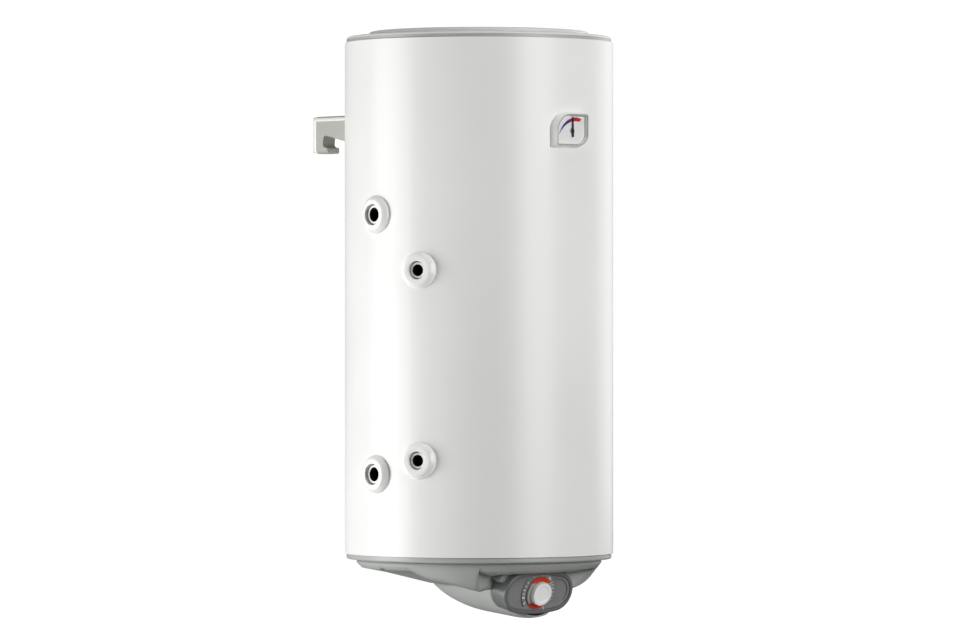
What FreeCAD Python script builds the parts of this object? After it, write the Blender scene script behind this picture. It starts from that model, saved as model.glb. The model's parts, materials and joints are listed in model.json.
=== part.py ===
"""Wall-hung indirect water heater with two heat exchanger coils.

The solids are built round the heater's upright axis, with height zero at the lower edge of the
jacket and the front towards -Y. They are moved at export, so that the origin of the finished part
lies on the wall, in the middle of the hanger's bolt line.
"""
import FreeCAD
import Part
import math
import os

Vector = FreeCAD.Vector
UP = Vector(0, 0, 1)
SIDE = Vector(1, 0, 0)

# Clearances
SEAT_GAP = 0.3
RUNNING_GAP = 0.05
HOLE_GAP = 0.2
FAR = 600.0

# Jacket and foam
JACKET_RADIUS = 228.0
JACKET_HEIGHT = 865.0
JACKET_SHEET = 0.8
JACKET_INNER = JACKET_RADIUS - JACKET_SHEET
FOAM_WALL = 33.0

# Top cover and bottom rim
MOULDING_WALL = 2.5
RING_STEP = 3.0
SHELF_WIDTH = 39.0
SKIRT_HEIGHT = 14.0
TOP_RING_HEIGHT = 11.0
TOP_DISC_HEIGHT = 20.0
TOP_EDGE_ROUND = 4.5
RIM_HEIGHT = 9.3
RING_RADIUS = JACKET_RADIUS - RING_STEP
TOP_DISC_RADIUS = RING_RADIUS - SHELF_WIDTH
RIM_OPENING_RADIUS = RING_RADIUS - SHELF_WIDTH

# Tank
TANK_RADIUS = JACKET_RADIUS - FOAM_WALL
TANK_SHEET = 2.5
TANK_BOTTOM = 95.0
TANK_HEADROOM = 100.0
TANK_TOP = JACKET_HEIGHT - TANK_HEADROOM
HEAD_DEPTH = 75.0
HEAD_KNUCKLE = 40.0

# Hatch in the bottom head
HATCH_BORE = 52.0
NECK_WALL = 4.0
NECK_RISE = 14.0
COLLAR_RADIUS = 78.0
COLLAR_THICKNESS = 8.0
GASKET_THICKNESS = 3.0
GASKET_WIDTH = 10.0
PLATE_THICKNESS = 5.0
HATCH_BOLTS = 6
HATCH_BOLT_CIRCLE = 70.0
BOLT_RADIUS = 4.0
BOLT_HEAD_RADIUS = 7.0
BOLT_HEAD_HEIGHT = 5.3

# Pieces on the hatch plate
ELEMENT_PLACE = (22.0, -12.0)
ELEMENT_BOSS_RADIUS = 22.0
ELEMENT_BOSS_HEIGHT = 6.0
ELEMENT_ROD_RADIUS = 4.2
ELEMENT_LENGTH = 300.0
ELEMENT_LEG_SPACING = 22.0
ELEMENT_ROW_SPACING = 16.0
ELEMENT_PIN_LENGTH = 16.0
ANODE_PLACE = (-26.0, 14.0)
ANODE_RADIUS = 13.0
ANODE_LENGTH = 260.0
ANODE_CORE_RADIUS = 4.0
ANODE_NUT_RADIUS = 7.5
ANODE_NUT_HEIGHT = 6.5
POCKET_PLACE = (-18.0, -26.0)
POCKET_RADIUS = 6.0
POCKET_WALL = 1.2
POCKET_LENGTH = 210.0
BULB_LENGTH = 130.0

# Water pipes
PIPE_SPACING = 100.0
PIPE_INSET = 45.0
PIPE_BACK = TANK_RADIUS - PIPE_INSET
PIPE_RADIUS = 11.0
PIPE_WALL = 3.1
PIPE_END = -37.0
THREAD_RADIUS = 10.5
THREAD_LENGTH = 20.0
COLD_PIPE_RISE = 5.0
COLD_PIPE_TOP = TANK_BOTTOM - COLD_PIPE_RISE
HOT_PIPE_RISE = 25.0
HOT_PIPE_TOP = TANK_TOP + HOT_PIPE_RISE
DIFFUSER_RADIUS = 16.0
DIFFUSER_HEIGHT = 26.0
COLLAR_RING_RADIUS = 18.0
COLLAR_RING_HEIGHT = 4.0
PIPE_HOLE_RADIUS = 22.0

# Heat exchangers: one entry for each pair of sockets
EXCHANGERS = {
    "large": {
        "azimuth": 90.0, "heights": (137.0, 571.0), "turns": 7, "winding": 110.0, "tube": 14.0,
        "bend": 30.0, "socket": 15.2, "bore": 12.0, "opening": 17.4, "rosette": 32.0,
    },
    "small": {
        "azimuth": 67.0, "heights": (161.0, 477.5), "turns": 4, "winding": 72.0, "tube": 11.0,
        "bend": 28.0, "socket": 13.2, "bore": 10.0, "opening": 15.1, "rosette": 30.7,
    },
}
COIL_WALL = 2.2
LEAD_BORE_DEPTH = 40.0
SOCKET_BURY = 7.0
SOCKET_RISE = 4.5
SOCKET_FACE = JACKET_RADIUS + SOCKET_RISE
ROSETTE_RISE = 10.0
ROSETTE_FACE = JACKET_RADIUS + ROSETTE_RISE
ROSETTE_COLLAR = 2.2
ROSETTE_SHOULDER = 6.0

# Wall hanger
WALL_GAP = 24.0
HANGER_HALF_WIDTH = 161.0
HANGER_SHEET = 3.0
HANGER_DROP = 121.5
HANGER_TALL = 63.7
HANGER_TOP = JACKET_HEIGHT - HANGER_DROP
HANGER_BOTTOM = HANGER_TOP - HANGER_TALL
HANGER_LEG = 30.0
HANGER_LIP = 42.7
HANGER_LIP_HEIGHT = 9.7
HANGER_NOTCH_DROP = 32.1
HANGER_NOTCH_TOP = HANGER_TOP - HANGER_NOTCH_DROP
HANGER_ARM_DROP = 17.0
HANGER_FOLD = 8.0
HANGER_END_WIDTH = 26.0
HANGER_WEB_HEIGHT = 30.5
HANGER_WEB_BOTTOM = HANGER_TOP - HANGER_WEB_HEIGHT
BOLT_LINE_DROP = 15.5
BOLT_LINE = HANGER_TOP - BOLT_LINE_DROP
SLOT_SPACING = 220.0
SLOT_HALF_WIDTH = 5.5
SLOT_LENGTH = 26.0
TAB_DROP = 7.5
TAB_HEIGHT = 34.0
TAB_TOP = HANGER_TOP - TAB_DROP
TAB_BOTTOM = TAB_TOP - TAB_HEIGHT
STRAP_SHEET = 3.0
STRAP_HALF_ANGLE = 60.0
SPACER_HEIGHT = 90.0
SPACER_FOOT_RADIUS = 18.0
SPACER_PAD_RADIUS = 13.0

# Thermometer badge
BADGE_DROP = 53.0
BADGE_HEIGHT = TANK_TOP - BADGE_DROP
BADGE_WIDTH = 69.0
BADGE_TALL = 52.5
BADGE_FLARE = 9.0
BADGE_RISE = 11.0
BADGE_FACE = JACKET_RADIUS + BADGE_RISE
BADGE_TOP_ROUND = 30.0
BADGE_BOTTOM_ROUND = 21.0
BADGE_SMALL_ROUND = 3.5
BADGE_RIM = 1.8
LENS_LEDGE = 1.0
LENS_THICKNESS = 1.5
LENS_SINK = 0.5
DIAL_THICKNESS = 1.5
BADGE_FLOOR_RISE = 3.0
BADGE_FLOOR = JACKET_RADIUS + BADGE_FLOOR_RISE
PIVOT_OFFSET = (4.0, -2.0)
POINTER_REACH = 24.0
POINTER_TAIL = 10.0
POINTER_HALF_WIDTH = 1.9
POINTER_TIP_HALF_WIDTH = 0.9
POINTER_LIFT = 1.6
POINTER_THICKNESS = 0.8
POINTER_HUB_RADIUS = 3.0
POINTER_SPINDLE_RADIUS = 1.2
STEM_RADIUS = 4.3
STEM_DEPTH = 82.0
STEM_END = JACKET_RADIUS - STEM_DEPTH
STEM_POCKET_WALL = 1.2

# Bottom cover
COVER_WALL = 2.5
TIER_STEP = 17.0
TIER_RADIUS = RING_RADIUS - TIER_STEP
TIER_BOTTOM = -16.0
FLOOR_EDGE_INSET = 9.0
FLOOR_EDGE = (TIER_RADIUS - FLOOR_EDGE_INSET, -24.0)
FLOOR_KNEE_INSET = 47.0
FLOOR_KNEE = (TIER_RADIUS - FLOOR_KNEE_INSET, -31.3)
FLOOR_MIDDLE_INSET = 122.0
FLOOR_MIDDLE = (TIER_RADIUS - FLOOR_MIDDLE_INSET, -50.0)
HOOD_FOOT_INSET = 36.0
HOOD_WALL_FOOT = (TIER_RADIUS - HOOD_FOOT_INSET, -62.0)
HOOD_FOOT_ROUND = 62.0
# The hood's lower edge: distance behind the axis and height
RAMP = ((-35.0, -14.0), (-62.0, -31.0), (-76.0, -38.0), (-98.0, -43.0), (-114.0, -52.0), (-128.0, -66.0))
ALCOVE_HALF_WIDTH = 150.0
ALCOVE_ROUND = 70.0
NOSE_TOP = -14.0
# Each station of the nose: distance behind the axis, half width and keel height
NOSE_STATIONS = (
    (108.0, 27.0, -47.0),
    (70.0, 60.0, -68.5),
    (30.0, 76.0, -84.5),
    (-20.0, 83.0, -96.5),
    (-80.0, 85.0, -102.8),
    (-120.0, 84.0, -106.0),
    (-146.0, 79.0, -104.0),
)
NOSE_SHELF = -8.0
# The brow over the panel: its reach round the panel, its front and its lower end
BROW_MARGIN = 8.0
BROW_RADIUS = 163.0
BROW_FOOT = 16.0
COVER_SCREW_ANGLES = (95.0, 155.0, -95.0, -155.0)
COVER_SCREW_INSET = 12.0
COVER_SCREW_CIRCLE = TIER_RADIUS - COVER_SCREW_INSET
COVER_SCREW_RADIUS = 2.0
COVER_SCREW_HEAD = 4.0
COVER_PILLAR_RADIUS = 6.0
GLAND_BACK = PIPE_BACK
GLAND_RADIUS = 9.0
GLAND_BORE = 4.5
GLAND_NUT_RADIUS = 12.0
GLAND_DROP = 6.0
GLAND_RISE = 14.0
GLAND_NUT_RISE = 7.5
GLAND_NUT_HEIGHT = 4.5
GLAND_CAP_DROP = 9.0
GLAND_CAP_HEIGHT = 5.0

# Control panel, in its own frame: across, up along the face, and out of the face
PANEL_REACH = 154.0
PANEL_DROP = 63.0
PANEL_CENTRE = Vector(0, -PANEL_REACH, -PANEL_DROP)
PANEL_TILT = 16.0
PANEL_HALF_WIDTH = 76.0
PANEL_HALF_HEIGHT = 38.0
PANEL_END_RADIUS = 34.0
PANEL_DEPTH = 36.0
WIRE_HOLE_INSET = 8.0
WIRE_HOLE_DEPTH = 30.0
PANEL_RIM = 7.0
PANEL_RIM_DEPTH = 6.0
PANEL_EDGE_ROUND = 3.0
FASCIA_SINK = 1.8
FASCIA_THICKNESS = 3.2
FASCIA_LEDGE = 2.5
BAY_INSET = 12.0
BAY_CLEAR_RADIUS = 36.5
BAY_DEPTH = 2.0
KNOB_RADIUS = 20.6
KNOB_FACE_RADIUS = 19.4
KNOB_HEIGHT = 9.4
KNOB_DISH_RADIUS = 12.6
KNOB_DISH_DEPTH = 1.0
KNOB_FACE_WALL = 3.0
KNOB_RECESS = 2.6
WING_HALF_HEIGHT = 17.5
WING_THICKNESS = 1.5
SKIRT_RADIUS = 27.5
SKIRT_THICKNESS = 1.6
KNOB_GAP = 0.5
SPINDLE_RADIUS = 3.0
BUSHING_RADIUS = 5.0
THERMOSTAT_SIZE = (46.0, 40.0, 26.0)
CUTOUT_SIZE = (44.0, 32.0, 22.0)
TERMINAL_SIZE = (40.0, 18.0, 16.0)
CARRIER_SIZE = (96.0, 52.0, 1.5)
CARRIER_DROP = 22.0
CARRIER_POST_RADIUS = 3.5
CARRIER_BACK = 4.0
CAPILLARY_RADIUS = 1.2
CAPILLARY_RUN = 22.0

# Values that follow from the ones above
WALL_Y = JACKET_RADIUS + WALL_GAP
PLATE_TOP = PLATE_THICKNESS
COLLAR_BOTTOM = PLATE_TOP + GASKET_THICKNESS
COLLAR_TOP = COLLAR_BOTTOM + COLLAR_THICKNESS
SOCKET_INNER = TANK_RADIUS - SOCKET_BURY
FOAM_BOTTOM = SKIRT_HEIGHT + SEAT_GAP
FOAM_TOP = JACKET_HEIGHT - SKIRT_HEIGHT - SEAT_GAP
ORIGIN = Vector(0, WALL_Y, BOLT_LINE)


def corner_wire(corners, place):
    """A closed wire through corners (u, v, radius), with each corner rounded to its radius."""
    count = len(corners)
    starts = []
    ends = []
    middles = []
    for index in range(count):
        before = corners[index - 1]
        here = corners[index]
        after = corners[(index + 1) % count]
        point = Vector(here[0], here[1], 0)
        to_before = (Vector(before[0], before[1], 0) - point).normalize()
        to_after = (Vector(after[0], after[1], 0) - point).normalize()
        radius = here[2]
        if radius <= 0:
            starts.append(point)
            ends.append(point)
            middles.append(None)
            continue
        half = to_before.getAngle(to_after) / 2
        reach = radius / math.tan(half)
        bisector = (to_before + to_after).normalize()
        centre = point + bisector * (radius / math.sin(half))
        starts.append(point + to_before * reach)
        ends.append(point + to_after * reach)
        middles.append(centre - bisector * radius)
    edges = []
    for index in range(count):
        if middles[index] is not None:
            arc = Part.Arc(place(starts[index]), place(middles[index]), place(ends[index]))
            edges.append(arc.toShape())
        follower = starts[(index + 1) % count]
        if (follower - ends[index]).Length > 1e-6:
            edges.append(Part.LineSegment(place(ends[index]), place(follower)).toShape())
    return Part.Wire(edges)


def upright(point):
    """Places a flat (radius, height) point in the XZ plane."""
    return Vector(point.x, 0, point.y)


def sideways(point):
    """Places a flat (depth, height) point in the YZ plane."""
    return Vector(0, point.x, point.y)


def flat(point):
    return Vector(point.x, point.y, 0)


def square(*corners):
    """Corners without rounding, as (u, v, radius) corners."""
    return [(u, v, 0.0) for u, v in corners]


def turned(corners):
    """A solid turned round the heater's axis from (radius, height, rounding) corners."""
    face = Part.Face(corner_wire(corners, upright))
    return face.revolve(Vector(0, 0, 0), UP, 360)


def cylinder(radius, start, end):
    """A round bar between two points."""
    axis = end - start
    return Part.makeCylinder(radius, axis.Length, start, axis)


def post(radius, place, bottom, top):
    """An upright round bar at an (x, y) place."""
    return cylinder(radius, Vector(place[0], place[1], bottom), Vector(place[0], place[1], top))


def tube(outer, inner, start, end):
    return cylinder(outer, start, end).cut(cylinder(inner, start, end))


def block(low, high):
    size = high - low
    return Part.makeBox(size.x, size.y, size.z, low)


def hexagon(radius, place, bottom, top):
    """An upright hexagonal prism whose corners lie on the radius."""
    corners = []
    for index in range(6):
        angle = math.radians(60 * index)
        corners.append((place[0] + radius * math.cos(angle), place[1] + radius * math.sin(angle), 0.0))
    wire = corner_wire(corners, lambda point: Vector(point.x, point.y, bottom))
    return Part.Face(wire).extrude(UP * (top - bottom))


def fused(shapes):
    result = shapes[0]
    for shape in shapes[1:]:
        result = result.fuse(shape)
    return result.removeSplitter()


def radial_frame(azimuth, height):
    """The placement whose Z axis points out of the jacket, from the heater's axis."""
    turn = FreeCAD.Rotation(UP, -azimuth)
    tip = FreeCAD.Rotation(SIDE, 90)
    return FreeCAD.Placement(Vector(0, 0, height), turn.multiply(tip))


def panel_frame():
    """The placement of the control panel: Z points out of its face."""
    return FreeCAD.Placement(PANEL_CENTRE, FreeCAD.Rotation(SIDE, 90 + PANEL_TILT))


def placed(shape, placement):
    moved = shape.copy()
    moved.transformShape(placement.toMatrix())
    return moved


# Casing


def outer_shell():
    shell = tube(JACKET_RADIUS, JACKET_INNER, Vector(0, 0, 0), Vector(0, 0, JACKET_HEIGHT))
    for exchanger in EXCHANGERS.values():
        collar = exchanger["opening"] + ROSETTE_COLLAR
        for height in exchanger["heights"]:
            drill = cylinder(collar + SEAT_GAP, Vector(0, 0, TANK_RADIUS), Vector(0, 0, FAR))
            shell = shell.cut(placed(drill, radial_frame(exchanger["azimuth"], height)))
    stem_hole = cylinder(STEM_RADIUS + STEM_POCKET_WALL + HOLE_GAP * 2, Vector(*PIVOT_OFFSET, 0),
                         Vector(*PIVOT_OFFSET, FAR))
    shell = shell.cut(placed(stem_hole, radial_frame(0, BADGE_HEIGHT)))
    return shell.cut(tab_slots())


def top_cover():
    skirt = JACKET_INNER - SEAT_GAP
    edge = JACKET_HEIGHT
    ring_top = edge + TOP_RING_HEIGHT
    disc_top = edge + TOP_DISC_HEIGHT
    wall = MOULDING_WALL
    return turned([
        (0, disc_top, 0),
        (TOP_DISC_RADIUS, disc_top - 1.5, 3.0),
        (TOP_DISC_RADIUS + 1.5, ring_top, 1.5),
        (RING_RADIUS, ring_top - 1.0, TOP_EDGE_ROUND),
        (RING_RADIUS, edge, 0),
        (skirt, edge, 0),
        (skirt, edge - SKIRT_HEIGHT, 0),
        (skirt - wall, edge - SKIRT_HEIGHT, 0),
        (skirt - wall, edge - wall, 0),
        (RING_RADIUS - wall, edge, 0),
        (RING_RADIUS - wall, ring_top - wall - 1.0, 2.0),
        (TOP_DISC_RADIUS + 1.5 - wall, ring_top - wall, 0),
        (TOP_DISC_RADIUS - wall, disc_top - wall - 1.5, 1.0),
        (0, disc_top - wall, 0),
    ])


def bottom_rim():
    skirt = JACKET_INNER - SEAT_GAP
    wall = MOULDING_WALL
    rim = turned([
        (skirt, SKIRT_HEIGHT, 0),
        (skirt, 0, 0),
        (RING_RADIUS, 0, 0),
        (RING_RADIUS, -RIM_HEIGHT, 3.0),
        (RIM_OPENING_RADIUS, -RIM_HEIGHT, 0),
        (RIM_OPENING_RADIUS, wall - RIM_HEIGHT, 0),
        (RING_RADIUS - wall, wall - RIM_HEIGHT, 1.0),
        (RING_RADIUS - wall, -wall, 0),
        (skirt - wall, wall, 0),
        (skirt - wall, SKIRT_HEIGHT, 0),
    ])
    for place in cover_screw_places():
        boss = post(COVER_SCREW_RADIUS * 2.5, place, -RIM_HEIGHT, 0)
        rim = rim.fuse(boss)
        rim = rim.cut(post(COVER_SCREW_RADIUS + HOLE_GAP / 2, place, -RIM_HEIGHT, 0))
    return rim


def foam_insulation():
    foam = post(JACKET_INNER - SEAT_GAP, (0, 0), FOAM_BOTTOM, FOAM_TOP)
    foam = foam.cut(tank_envelope(SEAT_GAP))
    foam = foam.cut(post(COLLAR_RADIUS + 8.0, (0, 0), 0, TANK_BOTTOM))
    for place in pipe_places():
        foam = foam.cut(post(PIPE_RADIUS + SEAT_GAP, place, 0, TANK_BOTTOM))
    for exchanger in EXCHANGERS.values():
        collar = exchanger["opening"] + ROSETTE_COLLAR
        for height in exchanger["heights"]:
            frame = radial_frame(exchanger["azimuth"], height)
            socket = cylinder(exchanger["socket"] + SEAT_GAP, Vector(0, 0, SOCKET_INNER), Vector(0, 0, FAR))
            rosette = cylinder(collar + SEAT_GAP, Vector(0, 0, rosette_inner() - SEAT_GAP), Vector(0, 0, FAR))
            foam = foam.cut(placed(socket.fuse(rosette), frame))
    pocket = cylinder(STEM_RADIUS + STEM_POCKET_WALL + 2 * HOLE_GAP, Vector(*PIVOT_OFFSET, STEM_END),
                      Vector(*PIVOT_OFFSET, FAR))
    foam = foam.cut(placed(pocket, radial_frame(0, BADGE_HEIGHT)))
    foam = foam.cut(strap_ring(SEAT_GAP))
    return foam.cut(tab_slots())


# Tank


def dish_edges(inset, height, side):
    """The crown and knuckle arcs of a dished head in the XZ plane, drawn in by the inset."""
    span = TANK_RADIUS - HEAD_KNUCKLE
    crown = (span ** 2 + HEAD_DEPTH ** 2 - HEAD_KNUCKLE ** 2) / (2 * (HEAD_DEPTH - HEAD_KNUCKLE))
    lean = math.asin(span / (crown - HEAD_KNUCKLE))
    pole = height + side * (HEAD_DEPTH - inset)
    centre = height + side * (HEAD_DEPTH - crown)
    crown -= inset
    knuckle = HEAD_KNUCKLE - inset

    def on_crown(angle):
        return Vector(crown * math.sin(angle), 0, centre + side * crown * math.cos(angle))

    def on_knuckle(angle):
        return Vector(span + knuckle * math.sin(angle), 0, height + side * knuckle * math.cos(angle))

    top = Part.Arc(Vector(0, 0, pole), on_crown(lean / 2), on_crown(lean))
    middle = on_knuckle((lean + math.pi / 2) / 2)
    corner = Part.Arc(on_crown(lean), middle, Vector(span + knuckle, 0, height))
    return [top.toShape(), corner.toShape()]


def dish(inset, thickness, height, side):
    """A dished head of one thickness, or a solid one where no thickness is given."""
    outer = TANK_RADIUS - inset
    pole = height + side * (HEAD_DEPTH - inset)
    edges = dish_edges(inset, height, side)
    if thickness:
        near = height + side * (HEAD_DEPTH - inset - thickness)
        inner = outer - thickness
        edges += dish_edges(inset + thickness, height, side)
        edges.append(Part.LineSegment(Vector(0, 0, pole), Vector(0, 0, near)).toShape())
        edges.append(Part.LineSegment(Vector(inner, 0, height), Vector(outer, 0, height)).toShape())
    else:
        edges.append(Part.LineSegment(Vector(0, 0, pole), Vector(0, 0, height)).toShape())
        edges.append(Part.LineSegment(Vector(0, 0, height), Vector(outer, 0, height)).toShape())
    wire = Part.Wire(Part.__sortEdges__(edges))
    return Part.Face(wire).revolve(Vector(0, 0, 0), UP, 360)


def tank_envelope(gap):
    """The tank's outer form as one solid, larger all round by the gap."""
    body = post(TANK_RADIUS + gap, (0, 0), TANK_BOTTOM, TANK_TOP)
    return fused([body, dish(-gap, 0, TANK_TOP, 1), dish(-gap, 0, TANK_BOTTOM, -1)])


def tank_shell():
    shell = tube(TANK_RADIUS, TANK_RADIUS - TANK_SHEET, Vector(0, 0, TANK_BOTTOM), Vector(0, 0, TANK_TOP))
    for exchanger in EXCHANGERS.values():
        for height in exchanger["heights"]:
            drill = cylinder(exchanger["socket"] + HOLE_GAP, Vector(0, 0, 0), Vector(0, 0, FAR))
            shell = shell.cut(placed(drill, radial_frame(exchanger["azimuth"], height)))
    drill = cylinder(STEM_RADIUS + STEM_POCKET_WALL + HOLE_GAP, Vector(*PIVOT_OFFSET, 0),
                     Vector(*PIVOT_OFFSET, FAR))
    return shell.cut(placed(drill, radial_frame(0, BADGE_HEIGHT)))


def tank_top_head():
    return dish(0, TANK_SHEET, TANK_TOP, 1)


def tank_bottom_head():
    head = dish(0, TANK_SHEET, TANK_BOTTOM, -1)
    head = head.cut(post(HATCH_BORE + NECK_WALL + HOLE_GAP, (0, 0), 0, TANK_BOTTOM))
    for place in pipe_places():
        head = head.cut(post(PIPE_RADIUS + HOLE_GAP, place, 0, TANK_BOTTOM + 1))
    return head


def bolt_places():
    places = []
    for index in range(HATCH_BOLTS):
        angle = math.radians(360.0 * index / HATCH_BOLTS)
        places.append((HATCH_BOLT_CIRCLE * math.cos(angle), HATCH_BOLT_CIRCLE * math.sin(angle)))
    return places


def flange_neck():
    neck = HATCH_BORE + NECK_WALL
    ring = turned(square(
        (HATCH_BORE, COLLAR_BOTTOM), (COLLAR_RADIUS, COLLAR_BOTTOM), (COLLAR_RADIUS, COLLAR_TOP),
        (neck, COLLAR_TOP), (neck, COLLAR_TOP + NECK_RISE), (HATCH_BORE, COLLAR_TOP + NECK_RISE)))
    for place in bolt_places():
        ring = ring.cut(post(BOLT_RADIUS + HOLE_GAP, place, COLLAR_BOTTOM, COLLAR_TOP))
    return ring


def flange_gasket():
    return tube(HATCH_BORE + GASKET_WIDTH, HATCH_BORE, Vector(0, 0, PLATE_TOP), Vector(0, 0, COLLAR_BOTTOM))


def flange_plate():
    plate = post(COLLAR_RADIUS, (0, 0), 0, PLATE_TOP)
    for place in bolt_places():
        plate = plate.cut(post(BOLT_RADIUS + HOLE_GAP, place, 0, PLATE_TOP))
    for place in element_legs():
        plate = plate.cut(post(ELEMENT_ROD_RADIUS + HOLE_GAP, place, 0, PLATE_TOP))
    plate = plate.cut(post(ANODE_CORE_RADIUS + HOLE_GAP, ANODE_PLACE, 0, PLATE_TOP))
    return plate.cut(post(POCKET_RADIUS + HOLE_GAP, POCKET_PLACE, 0, PLATE_TOP))


def flange_bolts():
    bolts = []
    for place in bolt_places():
        shank = post(BOLT_RADIUS, place, 0, COLLAR_TOP + 3.0)
        bolts.append(fused([shank, hexagon(BOLT_HEAD_RADIUS, place, -BOLT_HEAD_HEIGHT, 0)]))
    return Part.makeCompound(bolts)


# Pieces on the hatch plate


def element_legs():
    places = []
    for row in (-0.5, 0.5):
        for leg in (-0.5, 0.5):
            places.append((ELEMENT_PLACE[0] + row * ELEMENT_ROW_SPACING,
                           ELEMENT_PLACE[1] + leg * ELEMENT_LEG_SPACING))
    return places


def heating_element():
    boss_top = PLATE_TOP + ELEMENT_BOSS_HEIGHT
    pieces = [post(ELEMENT_BOSS_RADIUS, ELEMENT_PLACE, PLATE_TOP, boss_top)]
    for place in element_legs():
        pieces.append(post(ELEMENT_ROD_RADIUS, place, -2.0, ELEMENT_LENGTH))
        pieces.append(post(ELEMENT_ROD_RADIUS / 2, place, -ELEMENT_PIN_LENGTH, 0))
    for row in (-0.5, 0.5):
        centre = Vector(ELEMENT_PLACE[0] + row * ELEMENT_ROW_SPACING, ELEMENT_PLACE[1], ELEMENT_LENGTH)
        ring = Part.makeTorus(ELEMENT_LEG_SPACING / 2, ELEMENT_ROD_RADIUS, centre, SIDE)
        reach = ELEMENT_LEG_SPACING
        keep = block(centre - Vector(reach, reach, 0), centre + Vector(reach, reach, reach))
        pieces.append(ring.common(keep))
    return fused(pieces)


def anode_rod():
    foot = PLATE_TOP + 6.0
    rod = post(ANODE_RADIUS, ANODE_PLACE, foot, foot + ANODE_LENGTH)
    return rod.cut(post(ANODE_CORE_RADIUS + HOLE_GAP, ANODE_PLACE, foot, foot + ANODE_LENGTH / 2))


def anode_core():
    foot = PLATE_TOP + 6.0
    core = post(ANODE_CORE_RADIUS, ANODE_PLACE, -ANODE_NUT_HEIGHT - 2.0, foot + ANODE_LENGTH / 2)
    nut = hexagon(ANODE_NUT_RADIUS, ANODE_PLACE, -ANODE_NUT_HEIGHT, 0)
    washer = post(ANODE_NUT_RADIUS + 1.0, ANODE_PLACE, PLATE_TOP, foot)
    return fused([core, nut, washer])


def sensor_pocket():
    top = PLATE_TOP + POCKET_LENGTH
    pocket = post(POCKET_RADIUS, POCKET_PLACE, -2.0, top)
    return pocket.cut(post(POCKET_RADIUS - POCKET_WALL, POCKET_PLACE, -2.0, top - POCKET_WALL))


def thermostat_bulb():
    return post(POCKET_RADIUS - POCKET_WALL - SEAT_GAP, POCKET_PLACE, 12.0, 12.0 + BULB_LENGTH)


def rounded_route(points, bend):
    """A wire of straight runs joined by arcs of one bend radius."""
    edges = []
    start = points[0]
    for index in range(1, len(points) - 1):
        corner = points[index]
        back = (points[index - 1] - corner).normalize()
        ahead = (points[index + 1] - corner).normalize()
        half = back.getAngle(ahead) / 2
        reach = bend / math.tan(half)
        bisector = (back + ahead).normalize()
        middle = corner + bisector * (bend / math.sin(half) - bend)
        enter = corner + back * reach
        leave = corner + ahead * reach
        edges.append(Part.LineSegment(start, enter).toShape())
        edges.append(Part.Arc(enter, middle, leave).toShape())
        start = leave
    edges.append(Part.LineSegment(start, points[-1]).toShape())
    return Part.Wire(edges)


def piped(route, radius):
    """A round bar swept along a wire."""
    first = route.Edges[0]
    start = first.valueAt(first.FirstParameter)
    tangent = first.tangentAt(first.FirstParameter)
    section = Part.Wire(Part.makeCircle(radius, start, tangent))
    return route.makePipeShell([section], True, False)


def thermostat_capillary():
    start = Vector(POCKET_PLACE[0], POCKET_PLACE[1], 12.0)
    drop = Vector(POCKET_PLACE[0], POCKET_PLACE[1], -12.0)
    end = panel_frame().multVec(Vector(-THERMOSTAT_SIZE[0] / 4, 0, thermostat_back()))
    before = panel_frame().multVec(Vector(-THERMOSTAT_SIZE[0] / 4, 0, thermostat_back() - CAPILLARY_RUN))
    return piped(rounded_route([start, drop, before, end], 8.0), CAPILLARY_RADIUS)


# Water pipes


def pipe_places():
    return [(-PIPE_SPACING / 2, PIPE_BACK), (PIPE_SPACING / 2, PIPE_BACK)]


def water_pipe(place, top):
    """A pipe whose lower end is turned down for the thread."""
    start = Vector(place[0], place[1], PIPE_END)
    shoulder = start + UP * THREAD_LENGTH
    end = Vector(place[0], place[1], top)
    pipe = cylinder(PIPE_RADIUS, shoulder, end).fuse(cylinder(THREAD_RADIUS, start, shoulder))
    return pipe.cut(cylinder(PIPE_RADIUS - PIPE_WALL, start, end)).removeSplitter()


def cold_inlet_pipe():
    return water_pipe(pipe_places()[1], COLD_PIPE_TOP)


def hot_outlet_pipe():
    return water_pipe(pipe_places()[0], HOT_PIPE_TOP)


def inlet_diffuser():
    """A cap over the cold pipe that turns the incoming water sideways."""
    place = pipe_places()[1]
    top = COLD_PIPE_TOP + DIFFUSER_HEIGHT / 2
    cap = post(DIFFUSER_RADIUS, place, top - DIFFUSER_HEIGHT, top)
    cap = cap.cut(post(PIPE_RADIUS + HOLE_GAP, place, top - DIFFUSER_HEIGHT, COLD_PIPE_TOP))
    slot = DIFFUSER_HEIGHT / 2 - 4.0
    across = Vector(place[0] - FAR / 2, place[1] - slot / 2, COLD_PIPE_TOP)
    return cap.cut(block(across, across + Vector(FAR, slot, slot)))


def pipe_collar(place):
    """The coloured ring round a pipe stub, pushed up to the rim's level."""
    bottom = -RIM_HEIGHT - COLLAR_RING_HEIGHT
    start = Vector(place[0], place[1], bottom)
    ring = tube(COLLAR_RING_RADIUS, PIPE_RADIUS + HOLE_GAP, start, start + UP * COLLAR_RING_HEIGHT)
    end = start + UP * (COLLAR_RING_HEIGHT + 4.0)
    lip = tube(COLLAR_RING_RADIUS - 3.0, PIPE_RADIUS + HOLE_GAP, start, end)
    return fused([ring, lip])


# Heat exchangers


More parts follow.
